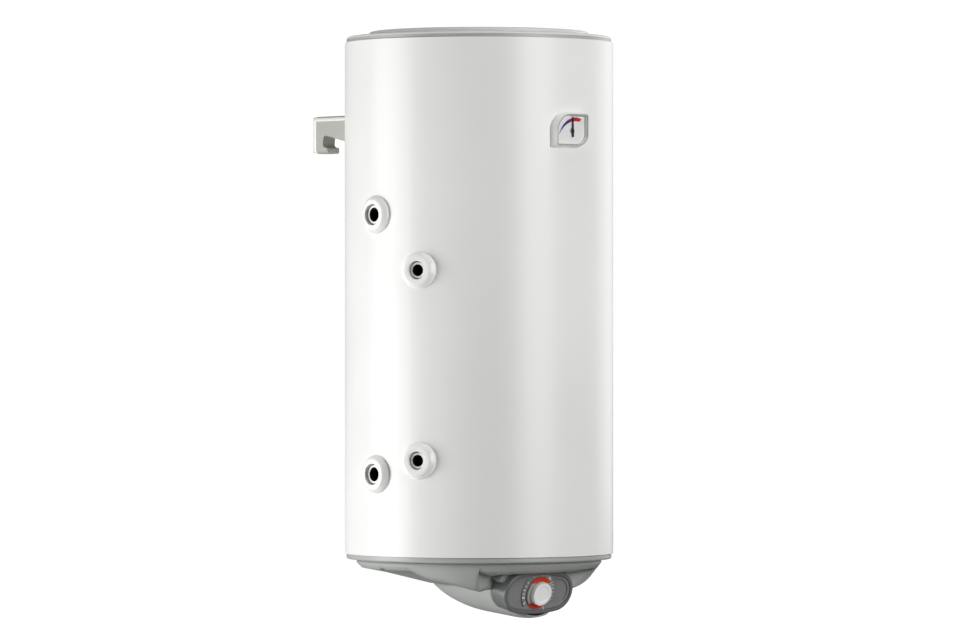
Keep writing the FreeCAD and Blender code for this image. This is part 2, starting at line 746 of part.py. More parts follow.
def biarc(start, start_way, end, end_way):
    """Two arcs that leave a point one way and reach another point another way."""
    chord = end - start
    spread = 2 * (1 - start_way.dot(end_way))
    along = chord.dot(start_way + end_way)
    if abs(spread) < 1e-9:
        reach = chord.dot(chord) / (4 * chord.dot(end_way))
    else:
        reach = (-along + math.sqrt(along * along + spread * chord.dot(chord))) / spread
    first = start + start_way * reach
    second = end - end_way * reach
    joint = (first + second) * 0.5
    edges = []
    for low, control, high in ((start, first, joint), (joint, second, end)):
        weight = (high - low).Length / 2 / (control - low).Length
        middle = (low + high + control * (2 * weight)) * (1 / (2 + 2 * weight))
        edges.append(Part.Arc(low, middle, high).toShape())
    return edges


def coil_route(exchanger):
    """The centre line of a coil: a straight lead, a bend, the turns, a bend and a straight lead."""
    low, high = exchanger["heights"]
    winding = exchanger["winding"]
    bend = exchanger["bend"]
    lead = math.sqrt((winding + bend) ** 2 - bend ** 2)
    offset = math.asin(bend / (winding + bend))
    bend_rise = 2.0
    sweep = 2 * math.pi * exchanger["turns"] - 2 * offset
    rise = high - low - 2 * bend_rise
    slope = rise / sweep

    def helix_point(angle):
        turn = math.pi - offset - angle
        height = low + bend_rise + slope * angle
        return Vector(winding * math.cos(turn), winding * math.sin(turn), height)

    def helix_way(angle):
        turn = math.pi - offset - angle
        return Vector(winding * math.sin(turn), -winding * math.cos(turn), slope).normalize()

    outside = -SOCKET_INNER
    pieces = [Part.LineSegment(Vector(outside, 0, low), Vector(-lead, 0, low)).toShape()]
    pieces += biarc(Vector(-lead, 0, low), SIDE, helix_point(0), helix_way(0))
    steps = 2 * exchanger["turns"]
    for index in range(steps):
        here = sweep * index / steps
        there = sweep * (index + 1) / steps
        pieces += biarc(helix_point(here), helix_way(here), helix_point(there), helix_way(there))
    pieces += biarc(helix_point(sweep), helix_way(sweep), Vector(-lead, 0, high), SIDE * -1)
    pieces.append(Part.LineSegment(Vector(-lead, 0, high), Vector(outside, 0, high)).toShape())
    route = Part.Wire(pieces)
    route.rotate(Vector(0, 0, 0), UP, 90 - exchanger["azimuth"])
    return route


def least_coil_gap(exchanger):
    """The least space between two stretches of a coil that lie more than half a turn apart."""
    route = coil_route(exchanger)
    points = route.discretize(Number=60 * exchanger["turns"])
    apart = 30
    least = min((points[first] - points[second]).Length
                for first in range(len(points)) for second in range(first + apart, len(points)))
    return least - 2 * exchanger["tube"]


def exchanger_coil(exchanger):
    coil = piped(coil_route(exchanger), exchanger["tube"])
    for height in exchanger["heights"]:
        bore = cylinder(exchanger["tube"] - COIL_WALL, Vector(0, 0, SOCKET_INNER - LEAD_BORE_DEPTH),
                        Vector(0, 0, SOCKET_INNER + 1))
        coil = coil.cut(placed(bore, radial_frame(exchanger["azimuth"], height)))
    return coil


def pipe_socket(exchanger, height):
    start = Vector(0, 0, SOCKET_INNER)
    socket = tube(exchanger["socket"], exchanger["bore"], start, Vector(0, 0, SOCKET_FACE))
    return placed(socket, radial_frame(exchanger["azimuth"], height))


def rosette_inner():
    return JACKET_INNER - 6.0


def rosette(exchanger, height):
    """A domed ring whose underside follows the jacket, with a collar that enters the jacket's hole."""
    opening = exchanger["opening"]
    outer = exchanger["rosette"]
    base = JACKET_RADIUS - 8.0
    dome = turned([
        (opening, base, 0),
        (outer, base, 0),
        (outer, ROSETTE_FACE - 7.0, 3.0),
        (outer - ROSETTE_SHOULDER, ROSETTE_FACE, 6.0),
        (opening, ROSETTE_FACE, 1.5),
    ])
    frame = radial_frame(exchanger["azimuth"], height)
    seat = post(JACKET_RADIUS, (0, 0), height - 2 * outer, height + 2 * outer)
    dome = placed(dome, frame).cut(seat)
    start = Vector(0, 0, rosette_inner())
    collar = tube(opening + ROSETTE_COLLAR, opening, start, Vector(0, 0, ROSETTE_FACE - 4.0))
    return fused([dome, placed(collar, frame)])


# Wall hanger


def hanger_side(inset):
    """The side view of the hanger, drawn in by the inset, across a wide span."""
    wall = WALL_Y
    leg = wall - HANGER_LEG
    lip = wall - HANGER_LIP
    inside = JACKET_RADIUS * 0.6
    corners = [
        (wall, HANGER_TOP, HANGER_FOLD + 1),
        (inside, HANGER_TOP, 0),
        (inside, HANGER_NOTCH_TOP - HANGER_ARM_DROP, 0),
        (leg - 2.5, HANGER_NOTCH_TOP, 5.0),
        (leg, HANGER_BOTTOM + HANGER_LIP_HEIGHT + 2.0, 6.0),
        (lip, HANGER_BOTTOM + HANGER_LIP_HEIGHT, 2.0),
        (lip, HANGER_BOTTOM, 3.5),
        (wall, HANGER_BOTTOM, HANGER_FOLD + 1),
    ]
    face = Part.Face(corner_wire(corners, sideways))
    if inset > 0:
        face = face.makeOffset2D(-inset)
    face.translate(SIDE * -FAR)
    return face.extrude(SIDE * (2 * FAR))


def hanger_block(inset):
    """The hanger's form as a solid: its side view, with both ends folded over by rounded edges."""
    half = HANGER_HALF_WIDTH - inset
    fold = HANGER_FOLD - inset
    plan = Part.Face(corner_wire([
        (-half, -FAR, 0), (half, -FAR, 0), (half, WALL_Y - inset, fold), (-half, WALL_Y - inset, fold),
    ], flat)).extrude(UP * FAR * 2)
    front = Part.Face(corner_wire([
        (-half, HANGER_BOTTOM + inset, fold), (half, HANGER_BOTTOM + inset, fold),
        (half, HANGER_TOP - inset, fold), (-half, HANGER_TOP - inset, fold),
    ], upright)).extrude(Vector(0, FAR, 0))
    return hanger_side(inset).common(plan).common(front)


def tab_slots():
    """The openings that the hanger's two tabs take through the jacket and the foam."""
    slots = []
    for side in (-1, 1):
        inner = side * (HANGER_HALF_WIDTH - HANGER_SHEET - SEAT_GAP)
        outer = side * (HANGER_HALF_WIDTH + SEAT_GAP)
        low = Vector(min(inner, outer), 0, TAB_BOTTOM - SEAT_GAP)
        high = Vector(max(inner, outer), JACKET_RADIUS, TAB_TOP + SEAT_GAP)
        slots.append(block(low, high))
    return Part.makeCompound(slots)


def wall_slot(centre_x):
    half = SLOT_LENGTH / 2
    corners = [
        (centre_x - half, BOLT_LINE - SLOT_HALF_WIDTH, SLOT_HALF_WIDTH - 0.01),
        (centre_x + half, BOLT_LINE - SLOT_HALF_WIDTH, SLOT_HALF_WIDTH - 0.01),
        (centre_x + half, BOLT_LINE + SLOT_HALF_WIDTH, SLOT_HALF_WIDTH - 0.01),
        (centre_x - half, BOLT_LINE + SLOT_HALF_WIDTH, SLOT_HALF_WIDTH - 0.01),
    ]
    wire = corner_wire(corners, lambda point: Vector(point.x, WALL_Y - HANGER_SHEET - 1, point.y))
    return Part.Face(wire).extrude(Vector(0, HANGER_SHEET + 2, 0))


def hanger_bracket():
    bracket = hanger_block(0).cut(hanger_block(HANGER_SHEET))
    middle = HANGER_HALF_WIDTH - HANGER_END_WIDTH
    below = block(Vector(-middle, 0, -FAR), Vector(middle, FAR, HANGER_WEB_BOTTOM))
    bracket = bracket.cut(below)
    bracket = bracket.cut(post(JACKET_RADIUS + SEAT_GAP, (0, 0), HANGER_BOTTOM - 50, HANGER_TOP + 50))
    for side in (-1, 1):
        bracket = bracket.cut(wall_slot(side * SLOT_SPACING / 2))
    strap = TANK_RADIUS + STRAP_SHEET + 2 * SEAT_GAP
    for side in (-1, 1):
        inner = side * (HANGER_HALF_WIDTH - HANGER_SHEET)
        outer = side * HANGER_HALF_WIDTH
        low = Vector(min(inner, outer), 0, TAB_BOTTOM)
        tab = block(low, Vector(max(inner, outer), JACKET_RADIUS * 0.78, TAB_TOP - HANGER_FOLD))
        tab = tab.cut(post(strap, (0, 0), TAB_BOTTOM - 1, TAB_TOP + 1))
        bracket = bracket.fuse(tab)
    return bracket.removeSplitter()


def strap_ring(gap):
    """The band of the strap, larger by the gap, between its two end angles."""
    inner = TANK_RADIUS + SEAT_GAP - gap
    outer = TANK_RADIUS + STRAP_SHEET + SEAT_GAP + gap
    start = Vector(inner, 0, TAB_BOTTOM - gap)
    height = TAB_TOP - TAB_BOTTOM + 2 * gap
    face = Part.Face(corner_wire(square(
        (inner, start.z), (outer, start.z), (outer, start.z + height), (inner, start.z + height)), upright))
    face.rotate(Vector(0, 0, 0), UP, 90 - STRAP_HALF_ANGLE)
    return face.revolve(Vector(0, 0, 0), UP, 2 * STRAP_HALF_ANGLE)


def lower_spacer():
    foot = Part.makeCone(SPACER_FOOT_RADIUS, SPACER_PAD_RADIUS, WALL_GAP + 3.0,
                         Vector(0, JACKET_RADIUS - 3.0, SPACER_HEIGHT), Vector(0, 1, 0))
    return foot.cut(post(JACKET_RADIUS + HOLE_GAP, (0, 0), SPACER_HEIGHT - 50, SPACER_HEIGHT + 50))


# Thermometer


def leaf(width, tall, inset, height):
    """A leaf outline: two opposite corners are large, the other two small."""
    half = width / 2 - inset
    rise = tall / 2 - inset
    top = BADGE_TOP_ROUND - inset
    bottom = BADGE_BOTTOM_ROUND - inset
    small = max(BADGE_SMALL_ROUND - inset, 1.0)
    corners = [(-half, -rise, small), (half, -rise, bottom), (half, rise, small), (-half, rise, top)]
    return corner_wire(corners, lambda point: Vector(point.x, point.y, height))


def leaf_plate(inset, bottom, top):
    return Part.Face(leaf(BADGE_WIDTH, BADGE_TALL, inset, bottom)).extrude(UP * (top - bottom))


def badge_frame():
    return radial_frame(0, BADGE_HEIGHT)


def lens_seat():
    return BADGE_FACE - LENS_SINK - LENS_THICKNESS


def pointer_bore():
    start = Vector(*PIVOT_OFFSET, 0)
    return cylinder(POINTER_SPINDLE_RADIUS + RUNNING_GAP, start, Vector(*PIVOT_OFFSET, FAR))


def thermometer_bezel():
    base = leaf(BADGE_WIDTH + BADGE_FLARE, BADGE_TALL + BADGE_FLARE, 0, JACKET_RADIUS - 5)
    front = leaf(BADGE_WIDTH, BADGE_TALL, 0, BADGE_FACE)
    bezel = Part.makeLoft([base, front], True, True)
    bezel = bezel.cut(leaf_plate(BADGE_RIM, lens_seat(), BADGE_FACE + 1))
    bezel = bezel.cut(leaf_plate(BADGE_RIM + LENS_LEDGE, BADGE_FLOOR, BADGE_FACE + 1))
    bezel = placed(bezel, badge_frame())
    low = BADGE_HEIGHT - BADGE_TALL
    bezel = bezel.cut(post(JACKET_RADIUS + SEAT_GAP, (0, 0), low, BADGE_HEIGHT + BADGE_TALL))
    return bezel.cut(placed(pointer_bore(), badge_frame()))


def thermometer_dial():
    dial = leaf_plate(BADGE_RIM + LENS_LEDGE + HOLE_GAP, BADGE_FLOOR, BADGE_FLOOR + DIAL_THICKNESS)
    return placed(dial.cut(pointer_bore()), badge_frame())


def thermometer_lens():
    lens = leaf_plate(BADGE_RIM + HOLE_GAP, lens_seat(), lens_seat() + LENS_THICKNESS)
    return placed(lens, badge_frame())


def pointer_level():
    return BADGE_FLOOR + DIAL_THICKNESS + POINTER_LIFT


def thermometer_pointer():
    level = pointer_level()
    x, y = PIVOT_OFFSET
    corners = [
        (x - POINTER_HALF_WIDTH, y - POINTER_TAIL, 1.0),
        (x + POINTER_HALF_WIDTH, y - POINTER_TAIL, 1.0),
        (x + POINTER_HALF_WIDTH, y, 0),
        (x + POINTER_TIP_HALF_WIDTH, y + POINTER_REACH, 0),
        (x - POINTER_TIP_HALF_WIDTH, y + POINTER_REACH, 0),
        (x - POINTER_HALF_WIDTH, y, 0),
    ]
    wire = corner_wire(corners, lambda point: Vector(point.x, point.y, level))
    blade = Part.Face(wire).extrude(UP * POINTER_THICKNESS)
    hub = cylinder(POINTER_HUB_RADIUS, Vector(x, y, level - 1.0), Vector(x, y, level + POINTER_THICKNESS / 2))
    pointer = fused([blade, hub])
    pointer = pointer.cut(cylinder(POINTER_SPINDLE_RADIUS, Vector(x, y, 0), Vector(x, y, level + 0.2)))
    return placed(pointer, badge_frame())


def pointer_spindle():
    low = Vector(*PIVOT_OFFSET, JACKET_RADIUS + 0.8)
    high = Vector(*PIVOT_OFFSET, pointer_level() + 0.2)
    return placed(cylinder(POINTER_SPINDLE_RADIUS, low, high), badge_frame())


def thermometer_stem():
    low = Vector(*PIVOT_OFFSET, STEM_END)
    high = Vector(*PIVOT_OFFSET, JACKET_RADIUS - 0.5)
    return placed(cylinder(STEM_RADIUS - HOLE_GAP, low, high), badge_frame())


def thermometer_pocket():
    bottom = STEM_END - STEM_POCKET_WALL - SEAT_GAP
    low = Vector(*PIVOT_OFFSET, bottom)
    high = Vector(*PIVOT_OFFSET, JACKET_INNER - 2.0)
    inside = Vector(*PIVOT_OFFSET, bottom + STEM_POCKET_WALL)
    pocket = cylinder(STEM_RADIUS + STEM_POCKET_WALL, low, high).cut(cylinder(STEM_RADIUS, inside, high))
    return placed(pocket, badge_frame())


# Bottom cover


def nose_section(back, half_width, keel):
    """One upright cross-section of the nose: the lower half of an ellipse, closed by a level line."""
    centre = Vector(0, back, NOSE_TOP)
    side = Vector(half_width, back, NOSE_TOP)
    bottom = Vector(0, back, keel)
    if half_width > NOSE_TOP - keel:
        ellipse = Part.Ellipse(side, bottom, centre)
    else:
        ellipse = Part.Ellipse(bottom, side, centre)
    points = [Vector(half_width, back, NOSE_TOP), bottom, Vector(-half_width, back, NOSE_TOP)]
    first, last = ellipse.parameter(points[0]), ellipse.parameter(points[2])
    arc = Part.ArcOfEllipse(ellipse, first, last)
    if arc.value((arc.FirstParameter + arc.LastParameter) / 2).z > NOSE_TOP:
        arc = Part.ArcOfEllipse(ellipse, last, first)
    lid = Part.LineSegment(points[2], points[0])
    return Part.Wire([arc.toShape(), lid.toShape()])


def nose_form(inset):
    sections = []
    for back, half_width, keel in NOSE_STATIONS:
        if back == NOSE_STATIONS[0][0]:
            back -= 2 * inset
        sections.append(nose_section(back, half_width - inset, keel + inset))
    return Part.makeLoft(sections, True, False)


def cover_floor(inset, top):
    """The shallow dished floor of the cover, with the upright tier round it."""
    edge = TIER_RADIUS - inset
    return turned([
        (0, top, 0),
        (edge, top, 0),
        (edge, TIER_BOTTOM + inset / 2, 1.5),
        (FLOOR_EDGE[0] - inset / 2, FLOOR_EDGE[1] + inset, 0),
        (FLOOR_KNEE[0], FLOOR_KNEE[1] + inset, 0),
        (FLOOR_MIDDLE[0], FLOOR_MIDDLE[1] + inset, 0),
        (0, FLOOR_MIDDLE[1] - 4.0 + inset, 0),
    ])


def hood_form(inset, top):
    """The deep wall that the cover has at both sides of the panel."""
    edge = TIER_RADIUS - 0.5 - inset * 1.3
    bowl = turned([
        (0, top, 0),
        (edge, top, 0),
        (edge, TIER_BOTTOM, 0),
        (HOOD_WALL_FOOT[0] - inset, HOOD_WALL_FOOT[1] + inset, HOOD_FOOT_ROUND - inset),
        (0, HOOD_WALL_FOOT[1] + inset, 0),
    ])
    corners = [(-FAR, FAR / 2, 0), (FAR, FAR / 2, 0), (FAR, RAMP[0][1] + inset, 0)]
    for depth, height in RAMP:
        corners.append((depth, height + inset, 0))
    corners.append((-FAR, RAMP[-1][1] + inset, 0))
    ramp = Part.Face(corner_wire(corners, sideways))
    ramp.translate(SIDE * -FAR)
    hood = bowl.common(ramp.extrude(SIDE * (2 * FAR)))
    back = -PANEL_DEPTH - inset
    half = ALCOVE_HALF_WIDTH
    alcove = Part.Face(corner_wire([
        (-half, FAR, 0), (-half, back, ALCOVE_ROUND), (half, back, ALCOVE_ROUND), (half, FAR, 0),
    ], lambda point: Vector(point.x, 0, point.y)))
    alcove.translate(Vector(0, -FAR / 2, 0))
    return hood.cut(placed(alcove.extrude(Vector(0, FAR, 0)), panel_frame()))


def panel_room(inset):
    """The space in front of the hood's back wall, from the nose's shelf upwards."""
    room = block(Vector(-FAR, NOSE_SHELF - inset, -PANEL_DEPTH - inset), Vector(FAR, FAR, FAR))
    return placed(room, panel_frame())


def brow_form(inset):
    """The wall that runs round the panel's upper half and joins it to the cover's floor."""
    brow = oval_bar(inset - BROW_MARGIN, -PANEL_DEPTH - 2 * inset, PANEL_DEPTH)
    brow = brow.common(block(Vector(-FAR, BROW_FOOT + inset, -FAR), Vector(FAR, FAR, FAR)))
    front = post(BROW_RADIUS - inset, (0, 0), -FAR, FLOOR_KNEE[1])
    return placed(brow, panel_frame()).common(front)


def cover_form(inset, top):
    nose = nose_form(inset).cut(panel_room(inset))
    return cover_floor(inset, top).fuse(hood_form(inset, top)).fuse(nose).fuse(brow_form(inset))


def cover_screw_places():
    places = []
    for angle in COVER_SCREW_ANGLES:
        turn = math.radians(angle)
        places.append((COVER_SCREW_CIRCLE * math.sin(turn), -COVER_SCREW_CIRCLE * math.cos(turn)))
    return places


def oval_wire(inset, height):
    """The panel's outline: two end arcs joined by two long flat arcs."""
    half_width = PANEL_HALF_WIDTH - inset
    half_height = PANEL_HALF_HEIGHT - inset
    end = PANEL_END_RADIUS - inset
    reach = half_width - end
    long_radius = (reach ** 2 + half_height ** 2 - end ** 2) / (2 * (half_height - end))
    drop = long_radius - half_height
    lean = math.atan2(reach, drop)
    meet = (long_radius * math.sin(lean), long_radius * math.cos(lean) - drop)
    corners = [Vector(sx * meet[0], sy * meet[1], height) for sx, sy in ((-1, 1), (1, 1), (1, -1), (-1, -1))]
    tops = [Vector(0, half_height, height), Vector(half_width, 0, height), Vector(0, -half_height, height),
            Vector(-half_width, 0, height)]
    edges = []
    for index in range(4):
        edges.append(Part.Arc(corners[index], tops[index], corners[(index + 1) % 4]).toShape())
    return Part.Wire(edges)


def oval_bar(inset, bottom, top):
    return Part.Face(oval_wire(inset, bottom)).extrude(UP * (top - bottom))


def bottom_cover():
    top = -RIM_HEIGHT
    cover = cover_form(0, top).cut(cover_form(COVER_WALL, top + 1))
    cover = cover.cut(placed(oval_bar(-SEAT_GAP, -PANEL_DEPTH - 0.1, FAR), panel_frame()))
    cover = cover.cut(placed(oval_bar(WIRE_HOLE_INSET, -PANEL_DEPTH - WIRE_HOLE_DEPTH, 0), panel_frame()))
    for place in pipe_places():
        cover = cover.cut(post(PIPE_HOLE_RADIUS, place, -FAR, 0))
    cover = cover.cut(post(GLAND_RADIUS + HOLE_GAP, (0, GLAND_BACK), -FAR, 0))
    for place in cover_screw_places():
        pillar = post(COVER_PILLAR_RADIUS, place, FLOOR_EDGE[1], top)
        cover = cover.fuse(pillar.common(cover_floor(0, top)))
        cover = cover.cut(post(COVER_SCREW_RADIUS + HOLE_GAP, place, -60, 0))
        cover = cover.cut(post(COVER_SCREW_HEAD + HOLE_GAP, place, -60, TIER_BOTTOM))
    return cover


def bottom_cover_screws():
    screws = []
    for place in cover_screw_places():
        head = TIER_BOTTOM
        shank = post(COVER_SCREW_RADIUS, place, head, -2.0)
        screws.append(fused([shank, post(COVER_SCREW_HEAD, place, head - 2.5, head)]))
    return Part.makeCompound(screws)


def gland_floor():
    """The height of the cover's underside where the cable gland stands."""
    run = (GLAND_BACK - FLOOR_MIDDLE[0]) / (FLOOR_KNEE[0] - FLOOR_MIDDLE[0])
    return FLOOR_MIDDLE[1] + run * (FLOOR_KNEE[1] - FLOOR_MIDDLE[1])


def cable_gland():
    floor = gland_floor()
    place = (0, GLAND_BACK)
    body = post(GLAND_RADIUS, place, floor - GLAND_DROP, floor + GLAND_RISE)
    nut = hexagon(GLAND_NUT_RADIUS, place, floor + GLAND_NUT_RISE, floor + GLAND_NUT_RISE + GLAND_NUT_HEIGHT)
    cap = hexagon(GLAND_NUT_RADIUS, place, floor - GLAND_CAP_DROP, floor - GLAND_CAP_DROP + GLAND_CAP_HEIGHT)
    gland = fused([body, nut, cap])
    return gland.cut(post(GLAND_BORE, place, floor - FAR, floor + FAR))


# Control panel


def control_housing():
    shell = oval_bar(0, -PANEL_DEPTH, 0)
    edges = [edge for edge in shell.Edges if edge.BoundBox.ZMin > -0.01]
    shell = shell.makeFillet(PANEL_EDGE_ROUND, edges)
    seat = -FASCIA_SINK - FASCIA_THICKNESS
    shell = shell.cut(oval_bar(COVER_WALL, -PANEL_DEPTH - 1, -PANEL_RIM_DEPTH))
    shell = shell.cut(oval_bar(PANEL_RIM + FASCIA_LEDGE, -PANEL_DEPTH, 1))
    shell = shell.cut(oval_bar(PANEL_RIM, seat, 1))
    return placed(shell, panel_frame())


def control_fascia():
    seat = -FASCIA_SINK - FASCIA_THICKNESS
    plate = oval_bar(PANEL_RIM + HOLE_GAP, seat, -FASCIA_SINK)
    bays = oval_bar(BAY_INSET, -FASCIA_SINK - BAY_DEPTH, 0)
    clear = cylinder(BAY_CLEAR_RADIUS, Vector(0, 0, -FAR), Vector(0, 0, FAR))
    plate = plate.cut(bays.cut(clear))
    plate = plate.cut(cylinder(BUSHING_RADIUS + HOLE_GAP, Vector(0, 0, -FAR), Vector(0, 0, FAR)))
    return placed(plate, panel_frame())


def skirt_bottom():
    return -FASCIA_SINK + KNOB_GAP


def knob_skirt():
    low = Vector(0, 0, skirt_bottom())
    plate = tube(SKIRT_RADIUS, BUSHING_RADIUS + KNOB_GAP * 2, low, low + UP * SKIRT_THICKNESS)
    return placed(plate, panel_frame())


def knob_wings():
    """The cap's flange: as wide as the skirt at both sides, and cut off level above and below."""
    base = Vector(0, 0, skirt_bottom() + SKIRT_THICKNESS)
    flange = cylinder(SKIRT_RADIUS - HOLE_GAP, base, base + UP * WING_THICKNESS)
    return flange.common(block(Vector(-FAR, -WING_HALF_HEIGHT, -FAR), Vector(FAR, WING_HALF_HEIGHT, FAR)))


def knob_cap():
    base = skirt_bottom() + SKIRT_THICKNESS
    top = base + KNOB_HEIGHT
    cap = turned([
        (0, base, 0),
        (KNOB_RADIUS, base, 0),
        (KNOB_FACE_RADIUS + 0.2, top, 1.5),
        (KNOB_DISH_RADIUS + 2.0, top, 1.0),
        (KNOB_DISH_RADIUS, top - KNOB_DISH_DEPTH, 1.0),
        (0, top - KNOB_DISH_DEPTH * 1.4, 0),
    ])
    cap = cap.fuse(knob_wings())
    recess = cylinder(BUSHING_RADIUS + KNOB_GAP * 2, Vector(0, 0, base - 1), Vector(0, 0, base + KNOB_RECESS))
    bore = cylinder(SPINDLE_RADIUS, Vector(0, 0, base), Vector(0, 0, top - KNOB_FACE_WALL))
    return placed(cap.cut(recess).cut(bore), panel_frame())


def thermostat_back():
    return -FASCIA_SINK - FASCIA_THICKNESS - HOLE_GAP - THERMOSTAT_SIZE[2]


def thermostat_spindle():
    low = thermostat_back() + THERMOSTAT_SIZE[2] / 2
    high = skirt_bottom() + SKIRT_THICKNESS + KNOB_HEIGHT - KNOB_FACE_WALL
    return placed(cylinder(SPINDLE_RADIUS, Vector(0, 0, low), Vector(0, 0, high)), panel_frame())


def thermostat_body():
    width, tall, deep = THERMOSTAT_SIZE
    back = thermostat_back()
    body = block(Vector(-width / 2, -tall / 2, back), Vector(width / 2, tall / 2, back + deep))
    bushing = cylinder(BUSHING_RADIUS, Vector(0, 0, back + deep), Vector(0, 0, -FASCIA_SINK + 0.3))
    bore = cylinder(SPINDLE_RADIUS + RUNNING_GAP, Vector(0, 0, back + deep / 2 - SEAT_GAP), Vector(0, 0, FAR))
    return placed(fused([body, bushing]).cut(bore), panel_frame())


# Electrical pieces under the hatch


def component_carrier():
    """A plate on two posts under the hatch, which carries the cut-out and the terminals."""
    width, deep, sheet = CARRIER_SIZE
    top = -CARRIER_DROP
    plate = block(Vector(-width / 2, CARRIER_BACK - deep / 2, top - sheet),
                  Vector(width / 2, CARRIER_BACK + deep / 2, top))
    posts = [post(CARRIER_POST_RADIUS, (side * (width / 2 - 6), CARRIER_BACK), top, 0) for side in (-1, 1)]
    return fused([plate] + posts)


def under_carrier(size, centre_x):
    width, deep, tall = size
    top = -CARRIER_DROP - CARRIER_SIZE[2]
    return block(Vector(centre_x - width / 2, CARRIER_BACK - deep / 2, top - tall),
                 Vector(centre_x + width / 2, CARRIER_BACK + deep / 2, top))


def safety_cutout():
    body = under_carrier(CUTOUT_SIZE, -CARRIER_SIZE[0] / 2 + CUTOUT_SIZE[0] / 2)
    centre = Vector(-CARRIER_SIZE[0] / 2 + CUTOUT_SIZE[0] / 2, CARRIER_BACK, body.BoundBox.ZMin)
    button = cylinder(4.0, centre, centre - UP * 5.0)
    return fused([body, button])


def terminal_block():
    body = under_carrier(TERMINAL_SIZE, CARRIER_SIZE[0] / 2 - TERMINAL_SIZE[0] / 2)
    box = body.BoundBox
    for index in range(3):
        centre = Vector(box.XMin + TERMINAL_SIZE[0] * (index + 0.5) / 3, CARRIER_BACK, box.ZMin)
        body = body.cut(cylinder(3.0, centre, centre + UP * 8.0))
    return body


def export(name, shape):
    moved = shape.copy()
    moved.translate(ORIGIN * -1)
    moved.exportStep(os.path.join("parts", name + ".step"))


def main():
    os.makedirs("parts", exist_ok=True)
    cold, hot = pipe_places()[1], pipe_places()[0]
    pieces = {
        "outer_shell": outer_shell(),
        "top_cover": top_cover(),
        "bottom_rim": bottom_rim(),
        "bottom_cover": bottom_cover(),
        "bottom_cover_screws": bottom_cover_screws(),
        "foam_insulation": foam_insulation(),
        "tank_shell": tank_shell(),
        "tank_top_head": tank_top_head(),
        "tank_bottom_head": tank_bottom_head(),
        "flange_neck": flange_neck(),
        "flange_gasket": flange_gasket(),
        "flange_plate": flange_plate(),
        "flange_bolts": flange_bolts(),
        "heating_element": heating_element(),
        "anode_rod": anode_rod(),
        "anode_core": anode_core(),
        "sensor_pocket": sensor_pocket(),
        "thermostat_bulb": thermostat_bulb(),
        "thermostat_capillary": thermostat_capillary(),
        "cold_inlet_pipe": cold_inlet_pipe(),
        "hot_outlet_pipe": hot_outlet_pipe(),
        "inlet_diffuser": inlet_diffuser(),
        "cold_collar": pipe_collar(cold),
        "hot_collar": pipe_collar(hot),
        "hanger_bracket": hanger_bracket(),
        "hanger_strap": strap_ring(0),
        "lower_spacer": lower_spacer(),
        "thermometer_bezel": thermometer_bezel(),
        "thermometer_dial": thermometer_dial(),
        "thermometer_lens": thermometer_lens(),
        "thermometer_pointer": thermometer_pointer(),
        "pointer_spindle": pointer_spindle(),
        "thermometer_stem": thermometer_stem(),
        "thermometer_pocket": thermometer_pocket(),
        "cable_gland": cable_gland(),
        "control_housing": control_housing(),
        "control_fascia": control_fascia(),
        "knob_skirt": knob_skirt(),
        "knob_cap": knob_cap(),
        "thermostat_spindle": thermostat_spindle(),
        "thermostat_body": thermostat_body(),
        "component_carrier": component_carrier(),
        "safety_cutout": safety_cutout(),
        "terminal_block": terminal_block(),
    }
    for name, exchanger in EXCHANGERS.items():
        print("coil_" + name, "least gap to itself", round(least_coil_gap(exchanger), 2), "mm")
        pieces["coil_" + name] = exchanger_coil(exchanger)
        for level, height in zip(("lower", "upper"), exchanger["heights"]):
            pieces[name + "_" + level + "_socket"] = pipe_socket(exchanger, height)
            pieces[name + "_" + level + "_rosette"] = rosette(exchanger, height)
    for name, shape in pieces.items():
        export(name, shape)
        state = "" if shape.isValid() else " NOT VALID"
        print(name, len(shape.Solids), "solids", round(shape.Volume / 1000, 2), "cm3" + state)


main()
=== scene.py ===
import json
import math

import bpy
from mathutils import Matrix, Vector


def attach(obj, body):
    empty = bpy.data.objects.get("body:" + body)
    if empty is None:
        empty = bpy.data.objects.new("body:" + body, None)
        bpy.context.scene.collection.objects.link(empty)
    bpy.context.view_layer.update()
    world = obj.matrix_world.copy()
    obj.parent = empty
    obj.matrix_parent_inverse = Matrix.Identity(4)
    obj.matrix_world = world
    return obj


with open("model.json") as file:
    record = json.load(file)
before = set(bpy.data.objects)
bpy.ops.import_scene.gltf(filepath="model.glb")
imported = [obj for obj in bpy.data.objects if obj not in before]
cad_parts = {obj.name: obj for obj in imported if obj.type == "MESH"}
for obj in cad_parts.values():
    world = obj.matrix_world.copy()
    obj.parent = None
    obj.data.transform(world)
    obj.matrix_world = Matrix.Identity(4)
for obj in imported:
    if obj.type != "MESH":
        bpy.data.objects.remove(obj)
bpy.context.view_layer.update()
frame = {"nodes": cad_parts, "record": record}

# Places of the heater, in metres: its upright axis, its jacket, and the raised disc on top
WALL_REACH = 0.252
AXIS = Vector((0.0, -WALL_REACH, 0.0))
JACKET_BOTTOM = -0.728
JACKET_HEIGHT = 0.865
JACKET_RADIUS = 0.228
TOP_DISC = JACKET_BOTTOM + 0.8712

# The control panel: its place and tilt, two levels out of its plane (the fascia's, and the top of the
# painted shade on the knob's low wings), and the half height of the knob's wings
PANEL_REACH = 0.154
PANEL_DROP = 0.063
PANEL_TILT = math.radians(16)
PANEL_CENTRE = AXIS + Vector((0.0, -PANEL_REACH, JACKET_BOTTOM - PANEL_DROP))
PANEL_OUT = Vector((0.0, -math.cos(PANEL_TILT), -math.sin(PANEL_TILT)))
PANEL_UP = Vector((0.0, -math.sin(PANEL_TILT), math.cos(PANEL_TILT)))
FASCIA_LEVEL = -0.0018
WING_SHADE_TOP = 0.0030
WING_HALF_HEIGHT = 0.0165

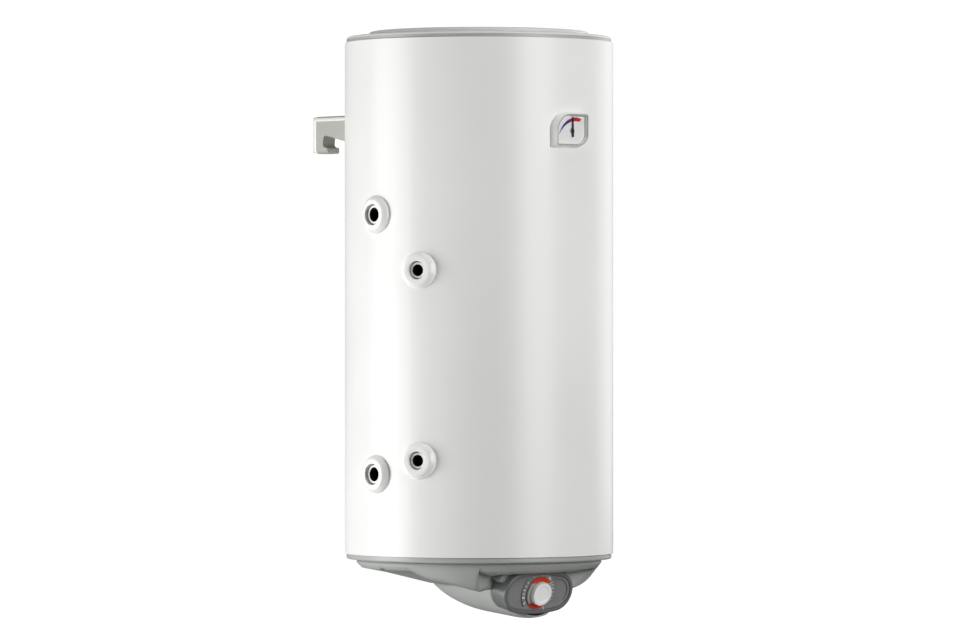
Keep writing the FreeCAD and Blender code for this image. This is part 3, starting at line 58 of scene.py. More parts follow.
# The thermometer's badge: its dial, its flat front, and the height of its middle
DIAL_FRONT = AXIS.y - 0.2325
BADGE_FACE = AXIS.y - 0.239
BADGE_HEIGHT = JACKET_BOTTOM + 0.712
BADGE_MARGIN = 0.0002

# The hanger's folds, at its top and at the wall, and how broad the painted highlight along them is
HANGER_FOLD = JACKET_BOTTOM + 0.7350
WALL_FOLD = WALL_REACH - 0.012
FOLD_HIGHLIGHT_BREADTH = 0.006

# The side sockets: turn from the front to the left, height over the jacket's lower edge, and bore radius
SOCKETS = {
    "large_lower": (90.0, 0.137, 0.012), "large_upper": (90.0, 0.571, 0.012),
    "small_lower": (67.0, 0.161, 0.010), "small_upper": (67.0, 0.4775, 0.010),
}
SOCKET_FACE = 0.2325

# The two stubs under the heater: across from the middle, and out from the wall
STUB_PLACES = {"cold": (0.050, -0.102), "hot": (-0.050, -0.102)}
STUB_END = JACKET_BOTTOM - 0.037
STUB_RADIUS = 0.0105

# Threads: how far a ridge stands out of the tube or into it, ridges, and the plain run behind them
THREAD_PITCH = 0.0018
SOCKET_THREAD = {"ridge": -0.0009, "count": 9, "run_out": 0.022}
STUB_THREAD = {"ridge": 0.0004, "count": 10, "run_out": 0.0004}

# The cover's screws, and the marks of painted shade for the recesses in their heads: core, where a side face
# starts, depth and reach
COVER_SCREW_RADIUS = 0.196
COVER_SCREW_ANGLES = (95, 155, -95, -155)
COVER_SCREW_FACE = JACKET_BOTTOM - 0.01862
RECESS_CORE = 0.0012
RECESS_SIDE = 0.0005
RECESS_DEPTH = 0.0002
RECESS_ARM = 0.0016

# The jacket's seam: turn from the front to the left, width, thickness, and the gap to both edges together
SEAM_TURN = math.radians(152)
SEAM_WIDTH = 0.007
SEAM_THICKNESS = 0.0012
SEAM_RISE = 0.00015
SEAM_END_GAPS = 0.004

# Print: its thickness, how far its middle lies over its face, and the rounding of its edges
PRINT_THICKNESS = 0.00024
PRINT_RISE = 0.0001
PRINT_ROUNDING = 0.00008

# The photograph's camera, with the lens and its aim in pixels of a photograph 960 wide
PHOTO_WIDTH = 960
FOCAL_PIXELS = 5652.0
AIM_RIGHT_PIXELS = 1.0
AIM_UP_PIXELS = 14.0
SENSOR_WIDTH = 36
CAMERA_SIDE = math.radians(41)
CAMERA_DISTANCE = 9.6
CAMERA_HEIGHT = JACKET_BOTTOM + 0.3715

# The studio: a floor far below, and the sky's brightness as the camera sees it and as the heater does
FLOOR_SIZE = 40.0
FLOOR_LEVEL = -6.0
SKY_SEEN = 1.05
SKY_FILL = 0.05
LIGHT_AIM = AXIS + Vector((0, 0, -0.3))

# Soft boxes: degrees to the right of the camera's own direction, distance, height, two sides, and power
SOFT_BOXES = {
    "left_box": (-78, 3.0, -0.6, 2.0, 2.4, 96),
    "right_box": (48, 3.0, 0.15, 1.6, 2.4, 67),
    "rim_box": (138, 3.0, 0.3, 2.1, 2.4, 30),
    "low_box": (-80, 2.0, -3.0, 3.0, 3.0, 34),
    "top_box": (10, 1.2, 3.2, 2.4, 2.4, 34),
}


# Shader effects that several finishes share


def new_group(name, scale, outputs):
    """A node group with a scale to set, and some values to give."""
    group = bpy.data.node_groups.new(name, "ShaderNodeTree")
    socket = group.interface.new_socket(name="Scale", in_out="INPUT", socket_type="NodeSocketFloat")
    socket.default_value = scale
    for title in outputs:
        group.interface.new_socket(name=title, in_out="OUTPUT", socket_type="NodeSocketFloat")
    return group, group.nodes.new("NodeGroupInput"), group.nodes.new("NodeGroupOutput")


def moulded_grain():
    """Fine leather-like pits of a moulded surface, and a slow change in how they shine."""
    group, given, put = new_group("moulded_grain", 900.0, ("Height", "Sheen"))
    nodes, links = group.nodes, group.links
    place = nodes.new("ShaderNodeTexCoord")
    pits = nodes.new("ShaderNodeTexVoronoi")
    pits.feature = "SMOOTH_F1"
    pits.inputs["Smoothness"].default_value = 0.6
    drift = nodes.new("ShaderNodeTexNoise")
    drift.inputs["Scale"].default_value = 14.0
    drift.inputs["Detail"].default_value = 3.0
    links.new(place.outputs["Object"], pits.inputs["Vector"])
    links.new(place.outputs["Object"], drift.inputs["Vector"])
    links.new(given.outputs["Scale"], pits.inputs["Scale"])
    links.new(pits.outputs["Distance"], put.inputs["Height"])
    links.new(drift.outputs["Fac"], put.inputs["Sheen"])
    return group


def enamel_ripple():
    """The faint orange peel of stoved enamel, with slow patches of thicker coat."""
    group, given, put = new_group("enamel_ripple", 260.0, ("Height", "Patches"))
    nodes, links = group.nodes, group.links
    place = nodes.new("ShaderNodeTexCoord")
    peel = nodes.new("ShaderNodeTexNoise")
    peel.inputs["Detail"].default_value = 2.0
    peel.inputs["Roughness"].default_value = 0.4
    patches = nodes.new("ShaderNodeTexNoise")
    patches.inputs["Scale"].default_value = 5.0
    patches.inputs["Detail"].default_value = 4.0
    links.new(place.outputs["Object"], peel.inputs["Vector"])
    links.new(place.outputs["Object"], patches.inputs["Vector"])
    links.new(given.outputs["Scale"], peel.inputs["Scale"])
    links.new(peel.outputs["Fac"], put.inputs["Height"])
    links.new(patches.outputs["Fac"], put.inputs["Patches"])
    return group


def drawn_lines():
    """Fine drawing lines and dull spots on bare metal."""
    group, given, put = new_group("drawn_lines", 500.0, ("Height", "Dullness"))
    nodes, links = group.nodes, group.links
    place = nodes.new("ShaderNodeTexCoord")
    stretch = nodes.new("ShaderNodeMapping")
    stretch.inputs["Scale"].default_value = (1.0, 1.0, 0.08)
    lines = nodes.new("ShaderNodeTexNoise")
    lines.inputs["Detail"].default_value = 3.0
    spots = nodes.new("ShaderNodeTexNoise")
    spots.inputs["Scale"].default_value = 60.0
    spots.inputs["Detail"].default_value = 5.0
    links.new(place.outputs["Object"], stretch.inputs["Vector"])
    links.new(stretch.outputs["Vector"], lines.inputs["Vector"])
    links.new(place.outputs["Object"], spots.inputs["Vector"])
    links.new(given.outputs["Scale"], lines.inputs["Scale"])
    links.new(lines.outputs["Fac"], put.inputs["Height"])
    links.new(spots.outputs["Fac"], put.inputs["Dullness"])
    return group


GRAIN = moulded_grain()
RIPPLE = enamel_ripple()
LINES = drawn_lines()


# Helpers for finishes


def srgb(red, green, blue):
    """A colour given as it looks on screen, from 0 to 255, in the values that the shader takes."""
    values = []
    for part in (red, green, blue):
        part /= 255
        values.append(part / 12.92 if part <= 0.04045 else ((part + 0.055) / 1.055) ** 2.4)
    return (*values, 1.0)


def start_finish(name, **sockets):
    """A new material, its surface shader, and its node tree."""
    material = bpy.data.materials.new(name)
    material.use_nodes = True
    surface = material.node_tree.nodes["Principled BSDF"]
    for socket, value in sockets.items():
        surface.inputs[socket.replace("_", " ")].default_value = value
    return material, surface, material.node_tree


def add_effect(tree, group):
    effect = tree.nodes.new("ShaderNodeGroup")
    effect.node_tree = group
    return effect


def two_tones(tree, factor, dark, light):
    """Colour between two tones, led by a slow change over the surface."""
    ramp = tree.nodes.new("ShaderNodeValToRGB")
    ramp.color_ramp.elements[0].position = 0.35
    ramp.color_ramp.elements[0].color = dark
    ramp.color_ramp.elements[1].position = 0.65
    ramp.color_ramp.elements[1].color = light
    tree.links.new(factor, ramp.inputs["Fac"])
    return ramp.outputs["Color"]


def value_range(tree, factor, low, high):
    """A value between two limits, led by the same kind of change."""
    spread = tree.nodes.new("ShaderNodeMapRange")
    spread.inputs["To Min"].default_value = low
    spread.inputs["To Max"].default_value = high
    tree.links.new(factor, spread.inputs["Value"])
    return spread.outputs["Result"]


def tone_and_shine(tree, surface, factor, tone, drift, low, high):
    """Tone and roughness that drift together: the tone down to a share of itself."""
    darker = (tone[0] * drift, tone[1] * drift, tone[2] * drift, 1.0)
    tree.links.new(two_tones(tree, factor, darker, tone), surface.inputs["Base Color"])
    tree.links.new(value_range(tree, factor, low, high), surface.inputs["Roughness"])


def add_bump(tree, surface, height, strength, distance, rounding=0.0):
    """Raises the surface's fine relief, on edges that look rounded by the given radius."""
    bump = tree.nodes.new("ShaderNodeBump")
    bump.inputs["Strength"].default_value = strength
    bump.inputs["Distance"].default_value = distance
    if rounding:
        rounded = tree.nodes.new("ShaderNodeBevel")
        rounded.samples = 8
        rounded.inputs["Radius"].default_value = rounding
        tree.links.new(rounded.outputs["Normal"], bump.inputs["Normal"])
    tree.links.new(height, bump.inputs["Height"])
    tree.links.new(bump.outputs["Normal"], surface.inputs["Normal"])


def moulded(name, tone, rough, scale=900.0, depth=0.25, spread=0.05, drift=0.94, rounding=0.0):
    """A moulded plastic: fine grain, and a tone and shine that drift a little."""
    material, surface, tree = start_finish(name)
    grain = add_effect(tree, GRAIN)
    grain.inputs["Scale"].default_value = scale
    tone_and_shine(tree, surface, grain.outputs["Sheen"], tone, drift, rough - spread, rough + spread)
    add_bump(tree, surface, grain.outputs["Height"], depth, 0.0004, rounding)
    return material


def enamelled(name, tone, rough, strength=0.05, rounding=0.0, **sockets):
    """A sprayed and stoved coat: glossy, with a faint ripple."""
    material, surface, tree = start_finish(name, **sockets)
    ripple = add_effect(tree, RIPPLE)
    tone_and_shine(tree, surface, ripple.outputs["Patches"], tone, 0.97, rough * 0.9, rough * 1.1)
    add_bump(tree, surface, ripple.outputs["Height"], strength, 0.0005, rounding)
    return material


def bare_metal(name, tone, rough):
    """Bare or plated metal with drawing lines and duller spots."""
    material, surface, tree = start_finish(name, Metallic=1.0)
    lines = add_effect(tree, LINES)
    tone_and_shine(tree, surface, lines.outputs["Dullness"], tone, 0.82, rough * 0.8, rough * 1.25)
    add_bump(tree, surface, lines.outputs["Height"], 0.15, 0.0003)
    return material


def paint_part(material, origin, way, test, limit, tone):
    """Gives another tone to the part of a piece that lies beyond a limit along one way."""
    tree = material.node_tree
    surface = tree.nodes["Principled BSDF"]
    body_colour = surface.inputs["Base Color"].links[0].from_socket
    place = tree.nodes.new("ShaderNodeTexCoord")
    offset = tree.nodes.new("ShaderNodeVectorMath")
    offset.operation = "SUBTRACT"
    offset.inputs[1].default_value = origin
    along = tree.nodes.new("ShaderNodeVectorMath")
    along.operation = "DOT_PRODUCT"
    along.inputs[1].default_value = way
    beyond = tree.nodes.new("ShaderNodeMath")
    beyond.operation = test
    beyond.inputs[1].default_value = limit
    mix = tree.nodes.new("ShaderNodeMix")
    mix.data_type = "RGBA"
    mix.inputs["B"].default_value = tone
    tree.links.new(place.outputs["Object"], offset.inputs[0])
    tree.links.new(offset.outputs[0], along.inputs[0])
    tree.links.new(along.outputs["Value"], beyond.inputs[0])
    tree.links.new(beyond.outputs[0], mix.inputs["Factor"])
    tree.links.new(body_colour, mix.inputs["A"])
    tree.links.new(mix.outputs["Result"], surface.inputs["Base Color"])
    return material


# Finishes of single pieces

SKIRT_ORANGE = srgb(226, 62, 30)
# The skirt's own grey between its orange arcs; the knob's cap takes the same grey as painted shade on its
# low wings.
SKIRT_GREY_AND_WING_SHADE = srgb(160, 161, 156)


def clear_lens():
    """A thin clear window, seen only by its faint shine."""
    material, surface, tree = start_finish("clear_lens", Base_Color=srgb(40, 42, 42), IOR=1.45)
    ripple = add_effect(tree, RIPPLE)
    ripple.inputs["Scale"].default_value = 60.0
    patches = ripple.outputs["Patches"]
    tree.links.new(value_range(tree, patches, 0.05, 0.11), surface.inputs["Roughness"])
    tree.links.new(value_range(tree, patches, 0.03, 0.05), surface.inputs["Alpha"])
    add_bump(tree, surface, ripple.outputs["Height"], 0.02, 0.0002)
    return material


def badge_finish():
    """The badge's white moulding, with painted shade along its flat front edge: a grey line standing for the
    shadow between the window and the bezel.
    """
    material = moulded("badge_moulding_painted_shade_line", srgb(246, 247, 243), 0.3, depth=0.04, spread=0.03, drift=0.985)
    # Painted shade: the flat front edge takes a grey line, as the shadow between the window and the bezel.
    front = AXIS.y - BADGE_FACE - BADGE_MARGIN
    return paint_part(material, AXIS, (0, -1, 0), "GREATER_THAN", front, srgb(158, 160, 155))


def skirt_finish():
    """The knob's skirt: orange above and below, and grey between the cap's wings."""
    material = moulded("skirt_moulding", SKIRT_ORANGE, 0.35, depth=0.08, drift=0.95)
    paint_part(material, PANEL_CENTRE, PANEL_UP, "LESS_THAN", WING_HALF_HEIGHT, SKIRT_GREY_AND_WING_SHADE)
    return paint_part(material, PANEL_CENTRE, PANEL_UP, "LESS_THAN", -WING_HALF_HEIGHT, SKIRT_ORANGE)


def knob_finish():
    """The knob's cap: nearly white, with painted shade making its low wings a darker grey."""
    material = moulded("knob_moulding_painted_wing_shade", srgb(254, 254, 252), 0.3, depth=0.08, drift=0.97, rounding=0.0012)
    # Painted shade: the cap's low wings, below a level out of the panel, take the darker grey.
    return paint_part(material, PANEL_CENTRE, PANEL_OUT, "LESS_THAN", WING_SHADE_TOP, SKIRT_GREY_AND_WING_SHADE)


def hanger_finish():
    """The hanger's grey paint, with a painted highlight along the folds at its top and at the wall, and a
    grey strip of painted shade beyond each highlight where the fold turns away.
    """
    material = enamelled("hanger_paint_painted_fold_highlights", srgb(166, 166, 159), 0.42, strength=0.12, rounding=0.004)
    for way, fold in (((0, 0, 1), HANGER_FOLD), ((0, 1, 0), WALL_FOLD)):
        # Painted highlight: a light band along each fold, then a darker band of painted shade towards its
        # edge.
        paint_part(material, AXIS, way, "GREATER_THAN", fold, srgb(236, 237, 231))
        paint_part(material, AXIS, way, "GREATER_THAN", fold + FOLD_HIGHLIGHT_BREADTH, srgb(180, 181, 175))
    return material


def cap_finish():
    """The light grey moulding of both end rings, with painted light making the raised disc on top paler."""
    material = moulded("light_grey_moulding_painted_top_light", srgb(176, 179, 176), 0.38, rounding=0.003)
    # Painted light: the raised disc's top takes a paler tone, as if lit from above.
    return paint_part(material, AXIS, (0, 0, 1), "GREATER_THAN", TOP_DISC, srgb(226, 227, 225))


# The crescent's colours, from its cold end at the left to its hot end at the right
COLD_END = -0.026
HOT_END = 0.025
SCALE_TONES = [
    (0.0, srgb(120, 130, 200)), (0.18, srgb(40, 30, 150)), (0.42, srgb(95, 0, 115)),
    (0.62, srgb(165, 0, 62)), (0.8, srgb(205, 25, 20)), (1.0, srgb(225, 60, 40)),
]


def scale_finish():
    """The dial's printed crescent, from blue to red."""
    material, surface, tree = start_finish("scale_colours", Roughness=0.45)
    place = tree.nodes.new("ShaderNodeTexCoord")
    split = tree.nodes.new("ShaderNodeSeparateXYZ")
    run = tree.nodes.new("ShaderNodeMapRange")
    run.inputs["From Min"].default_value = COLD_END
    run.inputs["From Max"].default_value = HOT_END
    ramp = tree.nodes.new("ShaderNodeValToRGB")
    while len(ramp.color_ramp.elements) < len(SCALE_TONES):
        ramp.color_ramp.elements.new(0.5)
    for element, (position, colour) in zip(ramp.color_ramp.elements, SCALE_TONES):
        element.position = position
        element.color = colour
    tree.links.new(place.outputs["Object"], split.inputs[0])
    tree.links.new(split.outputs["X"], run.inputs["Value"])
    tree.links.new(run.outputs["Result"], ramp.inputs["Fac"])
    tree.links.new(ramp.outputs["Color"], surface.inputs["Base Color"])
    return material


# The finish of each material slot in the record
FINISHES = {
    "jacket_enamel": enamelled("white_enamel", srgb(238, 239, 236), 0.36),
    "cap_plastic": cap_finish(),
    "cover_plastic": moulded("grey_moulding", srgb(178, 181, 178), 0.40, rounding=0.012),
    "foam": moulded("cream_foam", srgb(226, 214, 168), 0.9, scale=300.0, depth=0.8),
    "tank_steel": enamelled("tank_enamel", srgb(38, 66, 96), 0.3, Coat_Weight=0.3),
    "zinc_steel": bare_metal("zinc_plate", srgb(190, 194, 196), 0.34),
    "screw_steel": bare_metal("screw_plate", srgb(160, 164, 168), 0.3),
    "stub_steel": bare_metal("pipe_steel", srgb(176, 180, 182), 0.36),
    "seal_rubber": moulded("seal_rubber", srgb(40, 40, 40), 0.7, depth=0.1),
    "element_sheath": bare_metal("element_sheath", srgb(196, 198, 200), 0.22),
    "magnesium": bare_metal("magnesium", srgb(170, 172, 174), 0.5),
    "copper_tube": bare_metal("copper_tube", srgb(196, 128, 88), 0.28),
    "cold_blue": moulded("blue_moulding", srgb(34, 84, 168), 0.35),
    "hot_red": moulded("red_moulding", srgb(184, 40, 30), 0.35),
    "bracket_paint": hanger_finish(),
    "spacer_rubber": moulded("spacer_rubber", srgb(56, 57, 57), 0.65, depth=0.3),
    "rosette_white": moulded(
        "white_moulding", srgb(240, 241, 238), 0.24, depth=0.04, spread=0.03, drift=0.985),
    "socket_black": enamelled("socket_enamel", srgb(235, 236, 232), 0.3),
    "bezel_white": badge_finish(),
    "dial_white": moulded("dial_print_base", srgb(240, 241, 239), 0.45, depth=0.02, drift=0.985),
    "clear_lens": clear_lens(),
    "pointer_dark": moulded("pointer_black", srgb(20, 20, 22), 0.4, depth=0.05),
    "housing_dark": moulded("dark_moulding", srgb(114, 115, 115), 0.3, rounding=0.0025),
    "fascia_dark": moulded("fascia_moulding", srgb(138, 139, 139), 0.34, rounding=0.002),
    "knob_grey": knob_finish(),
    "skirt_orange": skirt_finish(),
    "black_moulding": moulded("black_moulding", srgb(28, 29, 30), 0.4),
    "cream_moulding": moulded("cream_moulding", srgb(216, 210, 194), 0.45),
}
PRINT_WHITE = moulded("white_print", srgb(244, 245, 243), 0.5, depth=0.02, drift=0.98)
PRINT_BLUE = moulded("blue_print", srgb(90, 110, 200), 0.5, depth=0.02)
PRINT_DARK = moulded("dark_print", srgb(70, 72, 74), 0.5, depth=0.02)
# Near-black standing for the painted shade deep in the socket bores and in the recesses of the screw heads.
PAINTED_BORE_SHADE = moulded("painted_bore_shade", srgb(6, 6, 6), 0.8, depth=0.05)


def paint_cad_nodes():
    """Every CAD node gets the finish of the material slot that the record gives it."""
    slots = {entry["node"]: entry["material_slot"] for entry in frame["record"]["subparts"]}
    for name, node in frame["nodes"].items():
        for place in node.material_slots:
            place.material = FINISHES[slots[name]]


# Modelling helpers


def start_afresh():
    if bpy.context.object and bpy.context.object.mode != "OBJECT":
        bpy.ops.object.mode_set(mode="OBJECT")
    bpy.ops.object.select_all(action="DESELECT")


def name_piece(name, finish, body="heater"):
    """Names the piece just made, gives it its finish, and lets it ride on a body."""
    piece = bpy.context.object
    piece.name = name
    piece.data.name = name
    piece.data.materials.clear()
    piece.data.materials.append(finish)
    bpy.ops.object.transform_apply(location=True, rotation=True, scale=True)
    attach(piece, body)
    return piece


def soften(piece, width, segments):
    """Rounds a piece's sharp edges and shades it smooth between them."""
    bpy.context.view_layer.objects.active = piece
    rounding = piece.modifiers.new("rounding", "BEVEL")
    rounding.width = width
    rounding.segments = segments
    rounding.limit_method = "ANGLE"
    rounding.angle_limit = math.radians(40)
    bpy.ops.object.modifier_apply(modifier="rounding")
    bpy.ops.object.shade_smooth_by_angle(angle=math.radians(35))


def turned_way(angle):
    """The level way that points to the heater's left of its front by the angle."""
    return Vector((-math.sin(angle), -math.cos(angle), 0))


def panel_place(across, up, out):
    """A point on the control panel: across and up on its face, and out of it."""
    return PANEL_CENTRE + Vector((across, 0.0, 0.0)) + PANEL_UP * up + PANEL_OUT * out


def panel_turn(angle):
    """The turn that lays a piece flat on the panel, with its own top turned clockwise by the angle."""
    flat = Matrix((Vector((1, 0, 0)), PANEL_UP, PANEL_OUT)).transposed().to_4x4()
    return flat @ Matrix.Rotation(-angle, 4, "Z")


# Marks on the control panel: angle from the top, length and width, clockwise from the lower left
SETTING_MARKS = [
    (-123.5, 0.0052, 0.0011), (-104.0, 0.0046, 0.0017), (-92.0, 0.0040, 0.0008), (-80.5, 0.0044, 0.0012),
    (-68.0, 0.0036, 0.0008), (-55.4, 0.0036, 0.0008), (-40.0, 0.0040, 0.0011), (-27.8, 0.0024, 0.0008),
    (-15.6, 0.0044, 0.0008), (-3.5, 0.0030, 0.0008), (8.0, 0.0052, 0.0010), (18.2, 0.0030, 0.0008),
    (27.7, 0.0036, 0.0008), (38.0, 0.0038, 0.0034), (46.0, 0.0032, 0.0008), (56.5, 0.0036, 0.0009),
    (66.5, 0.0032, 0.0008), (77.0, 0.0040, 0.0011), (89.5, 0.0032, 0.0008), (101.0, 0.0032, 0.0008),
    (112.0, 0.0032, 0.0008), (147.0, 0.0056, 0.0011),
]
BLUE_MARK = 6
RING_CENTRE = (-0.0008, -0.0003)
RING_RADIUS = 0.0322

# How much wider and longer than listed a mark is drawn
MARK_WIDER = 1.25
MARK_LONGER = 1.2


def printed_mark(name, place, turn, width, length, finish):
    """A thin bar of print, a little proud of its face."""
    start_afresh()
    bpy.ops.mesh.primitive_cube_add(size=1.0)
    size = Matrix.Diagonal((width, length, PRINT_THICKNESS, 1.0))
    bpy.context.object.matrix_world = Matrix.Translation(place) @ turn @ size
    soften(name_piece(name, finish), PRINT_ROUNDING, segments=1)


def setting_marks():
    """The marks printed round the knob, one of them blue."""
    for count, (degrees, length, width) in enumerate(SETTING_MARKS):
        angle = math.radians(degrees)
        across = RING_CENTRE[0] + RING_RADIUS * math.sin(angle)
        up = RING_CENTRE[1] + RING_RADIUS * math.cos(angle)
        place = panel_place(across, up, FASCIA_LEVEL + PRINT_RISE)
        finish = PRINT_BLUE if count == BLUE_MARK else PRINT_WHITE
        printed_mark(f"setting_mark_{count + 1}", place, panel_turn(angle), width * MARK_WIDER,
                     length * MARK_LONGER, finish)


# The crescent on the dial: across and up from its own middle, and half its depth
CRESCENT = [
    (-0.0310, -0.0086, 0.0004), (-0.0285, -0.0040, 0.0013), (-0.0250, 0.0013, 0.0021),
    (-0.0208, 0.0062, 0.0027), (-0.0150, 0.0110, 0.0029), (-0.0087, 0.0145, 0.0031),
    (-0.0020, 0.0169, 0.0033), (0.0041, 0.0180, 0.0035), (0.0095, 0.0179, 0.0037),
    (0.0140, 0.0168, 0.0036), (0.0168, 0.0172, 0.0022), (0.0196, 0.0180, 0.0006),
]
CRESCENT_SIDE = 0.0050
CRESCENT_FRONT = DIAL_FRONT - 0.0004
CRESCENT_START = 0.0004
CRESCENT_THICKNESS = 0.00015


def crescent_place(across, up):
    return Vector((CRESCENT_SIDE + across, CRESCENT_FRONT, BADGE_HEIGHT + up))


def dial_crescent():
    """A strip of print, drawn out station by station and widened as it goes."""
    start_afresh()
    across, up, half = CRESCENT[0]
    bpy.ops.mesh.primitive_plane_add(
        size=1.0, location=crescent_place(across - CRESCENT_START / 2, up), rotation=(math.pi / 2, 0, 0))
    bpy.context.object.scale = (CRESCENT_START, half * 2, 1.0)
    bpy.ops.object.transform_apply(location=True, rotation=True, scale=True)
    bpy.ops.object.mode_set(mode="EDIT")
    bpy.ops.mesh.select_mode(type="VERT")
    for last, following in zip(CRESCENT, CRESCENT[1:]):
        bpy.ops.object.mode_set(mode="OBJECT")
        points = bpy.context.object.data.vertices
        far = max(point.co.x for point in points)
        for point in points:
            point.select = point.co.x > far - 0.00001
        bpy.ops.object.mode_set(mode="EDIT")
        bpy.ops.mesh.extrude_region_move(
            TRANSFORM_OT_translate={"value": (following[0] - last[0], 0, following[1] - last[1])})
        bpy.ops.transform.resize(
            value=(1, 1, following[2] / last[2]), center_override=crescent_place(following[0], following[1]))
    bpy.ops.object.mode_set(mode="OBJECT")
    crescent = name_piece("dial_crescent", scale_finish())
    smooth = crescent.modifiers.new("flow", "SUBSURF")
    smooth.levels = 2
    bpy.ops.object.modifier_apply(modifier="flow")
    thick = crescent.modifiers.new("print_depth", "SOLIDIFY")
    thick.thickness = CRESCENT_THICKNESS
    bpy.ops.object.modifier_apply(modifier="print_depth")


# The ring on the dial: across and up from the badge's middle, its radius, its line and how flat that is
DIAL_RING_SIDE = 0.0040
DIAL_RING_UP = -0.0020
DIAL_RING_RADIUS = 0.0043
DIAL_RING_LINE = 0.0006
DIAL_RING_FLATNESS = 0.3


def dial_ring():
    """The small ring printed on the dial round the pointer's spindle."""
    start_afresh()
    bpy.ops.mesh.primitive_torus_add(
        major_segments=64, minor_segments=8, major_radius=DIAL_RING_RADIUS, minor_radius=DIAL_RING_LINE,
        location=(DIAL_RING_SIDE, DIAL_FRONT - PRINT_RISE, BADGE_HEIGHT + DIAL_RING_UP),
        rotation=(math.pi / 2, 0, 0))
    bpy.context.object.scale = (1, 1, DIAL_RING_FLATNESS)
    name_piece("dial_ring", PRINT_DARK)
    bpy.ops.object.shade_smooth()


def ridged_tube(name, place, way, radius, finish, slot, ridge, count, run_out):
    """A round thread drawn as close ridges along a tube, with a plain run at its inner end."""
    start_afresh()
    bpy.ops.mesh.primitive_circle_add(vertices=64, radius=radius, location=place)
    bpy.context.object.rotation_euler = way.to_track_quat("Z", "Y").to_euler()
    bpy.ops.object.mode_set(mode="EDIT")
    bpy.ops.mesh.select_all(action="SELECT")
    at = Vector(place)
    move = way * (THREAD_PITCH / 2)
    for step in range(2 * count):
        at = at + move
        bpy.ops.mesh.extrude_region_move(TRANSFORM_OT_translate={"value": move})
        size = (radius + ridge) / radius if step % 2 == 0 else radius / (radius + ridge)
        bpy.ops.transform.resize(value=(size, size, size), center_override=at)
    bpy.ops.mesh.extrude_region_move(TRANSFORM_OT_translate={"value": way * run_out})
    bpy.ops.object.mode_set(mode="OBJECT")
    name_piece(name, finish)
    bpy.ops.object.shade_smooth_by_angle(angle=math.radians(25))


def pipe_threads():
    """The threads in the side sockets and on the two stubs under the heater; the socket threads are
    near-black, painted shade standing for the dark depth of the bores.
    """
    inside_face = SOCKET_FACE - 0.0004
    bore_gap = 0.0001
    for size, (degrees, height, bore) in SOCKETS.items():
        out = turned_way(math.radians(degrees))
        mouth = AXIS + out * inside_face + Vector((0, 0, JACKET_BOTTOM + height))
        # Painted shade: the socket threads are real, and their near-black colour stands for the shade deep
        # in the bore.
        ridged_tube(size + "_thread", mouth, -out, bore - bore_gap, PAINTED_BORE_SHADE, "socket_black",
                    **SOCKET_THREAD)
    chamfer = 0.0006
    for water, (across, back) in STUB_PLACES.items():
        end = Vector((across, back, STUB_END + chamfer))
        ridged_tube(water + "_thread", end, Vector((0, 0, 1)), STUB_RADIUS, FINISHES["stub_steel"],
                    "stub_steel", **STUB_THREAD)


def screw_recess(name, place):
    """A near-black mark of painted shade standing for the recess in a screw's head, drawn out sideways from
    its core.
    """
    start_afresh()
    bpy.ops.mesh.primitive_cube_add(size=1.0, location=place)
    mark = bpy.context.object
    mark.scale = (RECESS_CORE, RECESS_CORE, RECESS_DEPTH)
    bpy.ops.object.transform_apply(location=True, rotation=True, scale=True)
    for way in (Vector((1, 0, 0)), Vector((-1, 0, 0)), Vector((0, 1, 0)), Vector((0, -1, 0))):
        side = place.dot(way) + RECESS_SIDE
        for face in mark.data.polygons:
            face.select = face.normal.dot(way) > 0.9 and face.center.dot(way) > side
        bpy.ops.object.mode_set(mode="EDIT")
        bpy.ops.mesh.select_mode(type="FACE")
        bpy.ops.mesh.extrude_region_move(TRANSFORM_OT_translate={"value": way * RECESS_ARM})
        bpy.ops.mesh.select_all(action="DESELECT")
        bpy.ops.object.mode_set(mode="OBJECT")
    soften(name_piece(name, PAINTED_BORE_SHADE), PRINT_ROUNDING, segments=1)


def cover_screw_recesses():
    for count, degrees in enumerate(COVER_SCREW_ANGLES):
        way = turned_way(-math.radians(degrees))
        place = AXIS + way * COVER_SCREW_RADIUS + Vector((0, 0, COVER_SCREW_FACE))
        screw_recess(f"screw_recess_{count + 1}", place)


def jacket_seam():
    """The folded seam that closes the jacket at the back, beside the hanger."""
    height = Vector((0, 0, JACKET_BOTTOM + JACKET_HEIGHT / 2))
    middle = AXIS + turned_way(SEAM_TURN) * (JACKET_RADIUS + SEAM_RISE) + height
    start_afresh()
    bpy.ops.mesh.primitive_cube_add(size=1.0, location=middle, rotation=(0, 0, -SEAM_TURN))
    bpy.context.object.scale = (SEAM_WIDTH, SEAM_THICKNESS, JACKET_HEIGHT - SEAM_END_GAPS)
    soften(name_piece("jacket_seam", FINISHES["jacket_enamel"]), 0.0004, segments=3)


# The studio


def studio_floor():
    """A pale floor well below the hung heater."""
    start_afresh()
    bpy.ops.mesh.primitive_plane_add(size=FLOOR_SIZE, location=(0, 0, FLOOR_LEVEL))
    floor = bpy.context.object
    floor.name = "studio_floor"
    floor.data.materials.append(
        moulded("studio_floor", srgb(238, 238, 236), 0.8, scale=40.0, depth=0.02, drift=0.99))


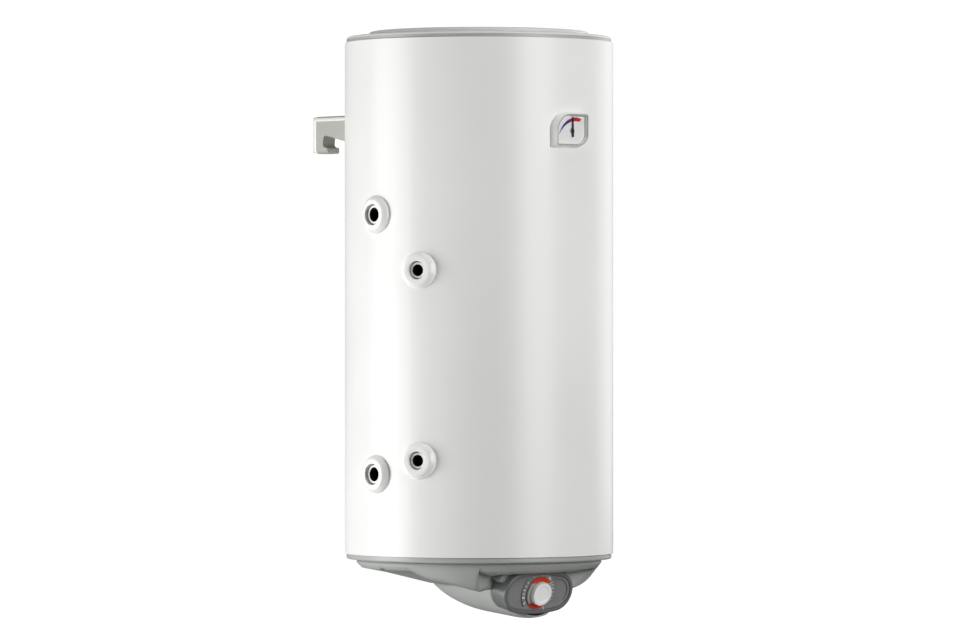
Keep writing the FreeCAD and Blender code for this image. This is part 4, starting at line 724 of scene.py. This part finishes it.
def studio_sky():
    """A white backdrop for the camera that gives the heater only a little light."""
    world = bpy.data.worlds.new("studio_sky")
    bpy.context.scene.world = world
    world.use_nodes = True
    nodes, links = world.node_tree.nodes, world.node_tree.links
    nodes.clear()
    out = nodes.new("ShaderNodeOutputWorld")
    choose = nodes.new("ShaderNodeMixShader")
    path = nodes.new("ShaderNodeLightPath")
    links.new(path.outputs["Is Camera Ray"], choose.inputs[0])
    for count, strength in ((1, SKY_FILL), (2, SKY_SEEN)):
        shade = nodes.new("ShaderNodeBackground")
        shade.inputs["Color"].default_value = (1.0, 1.0, 1.0, 1.0)
        shade.inputs["Strength"].default_value = strength
        links.new(shade.outputs[0], choose.inputs[count])
    links.new(choose.outputs[0], out.inputs["Surface"])


def soft_boxes():
    """Soft boxes at the heater's sides, behind, below and above it, all aimed at it."""
    for name, (degrees, distance, height, side, other_side, power) in SOFT_BOXES.items():
        out = turned_way(CAMERA_SIDE - math.radians(degrees))
        place = AXIS + out * distance + Vector((0, 0, height))
        lamp = bpy.data.lights.new(name, "AREA")
        lamp.shape = "RECTANGLE"
        lamp.size = side
        lamp.size_y = other_side
        lamp.energy = power
        holder = bpy.data.objects.new(name, lamp)
        holder.location = place
        holder.rotation_euler = (LIGHT_AIM - place).to_track_quat("-Z", "Y").to_euler()
        bpy.context.collection.objects.link(holder)


def camera():
    """The photograph's camera: a long lens 9.6 m from the heater's axis, 41 degrees to its left."""
    look = bpy.data.cameras.new("camera")
    look.lens = FOCAL_PIXELS / PHOTO_WIDTH * SENSOR_WIDTH
    look.sensor_width = SENSOR_WIDTH
    look.clip_end = 100
    holder = bpy.data.objects.new("camera", look)
    side = -math.sin(CAMERA_SIDE) * CAMERA_DISTANCE
    front = -math.cos(CAMERA_SIDE) * CAMERA_DISTANCE
    holder.location = AXIS + Vector((side, front, CAMERA_HEIGHT))
    yaw = -CAMERA_SIDE - AIM_RIGHT_PIXELS / FOCAL_PIXELS
    up = AIM_UP_PIXELS / FOCAL_PIXELS
    aim = Vector((-math.sin(yaw) * math.cos(up), math.cos(yaw) * math.cos(up), math.sin(up)))
    holder.rotation_euler = aim.to_track_quat("-Z", "Y").to_euler()
    bpy.context.collection.objects.link(holder)
    bpy.context.scene.camera = holder


camera()
paint_cad_nodes()
setting_marks()
dial_crescent()
dial_ring()
pipe_threads()
cover_screw_recesses()
jacket_seam()
studio_floor()
studio_sky()
soft_boxes()
bpy.context.scene.view_settings.view_transform = "Standard"
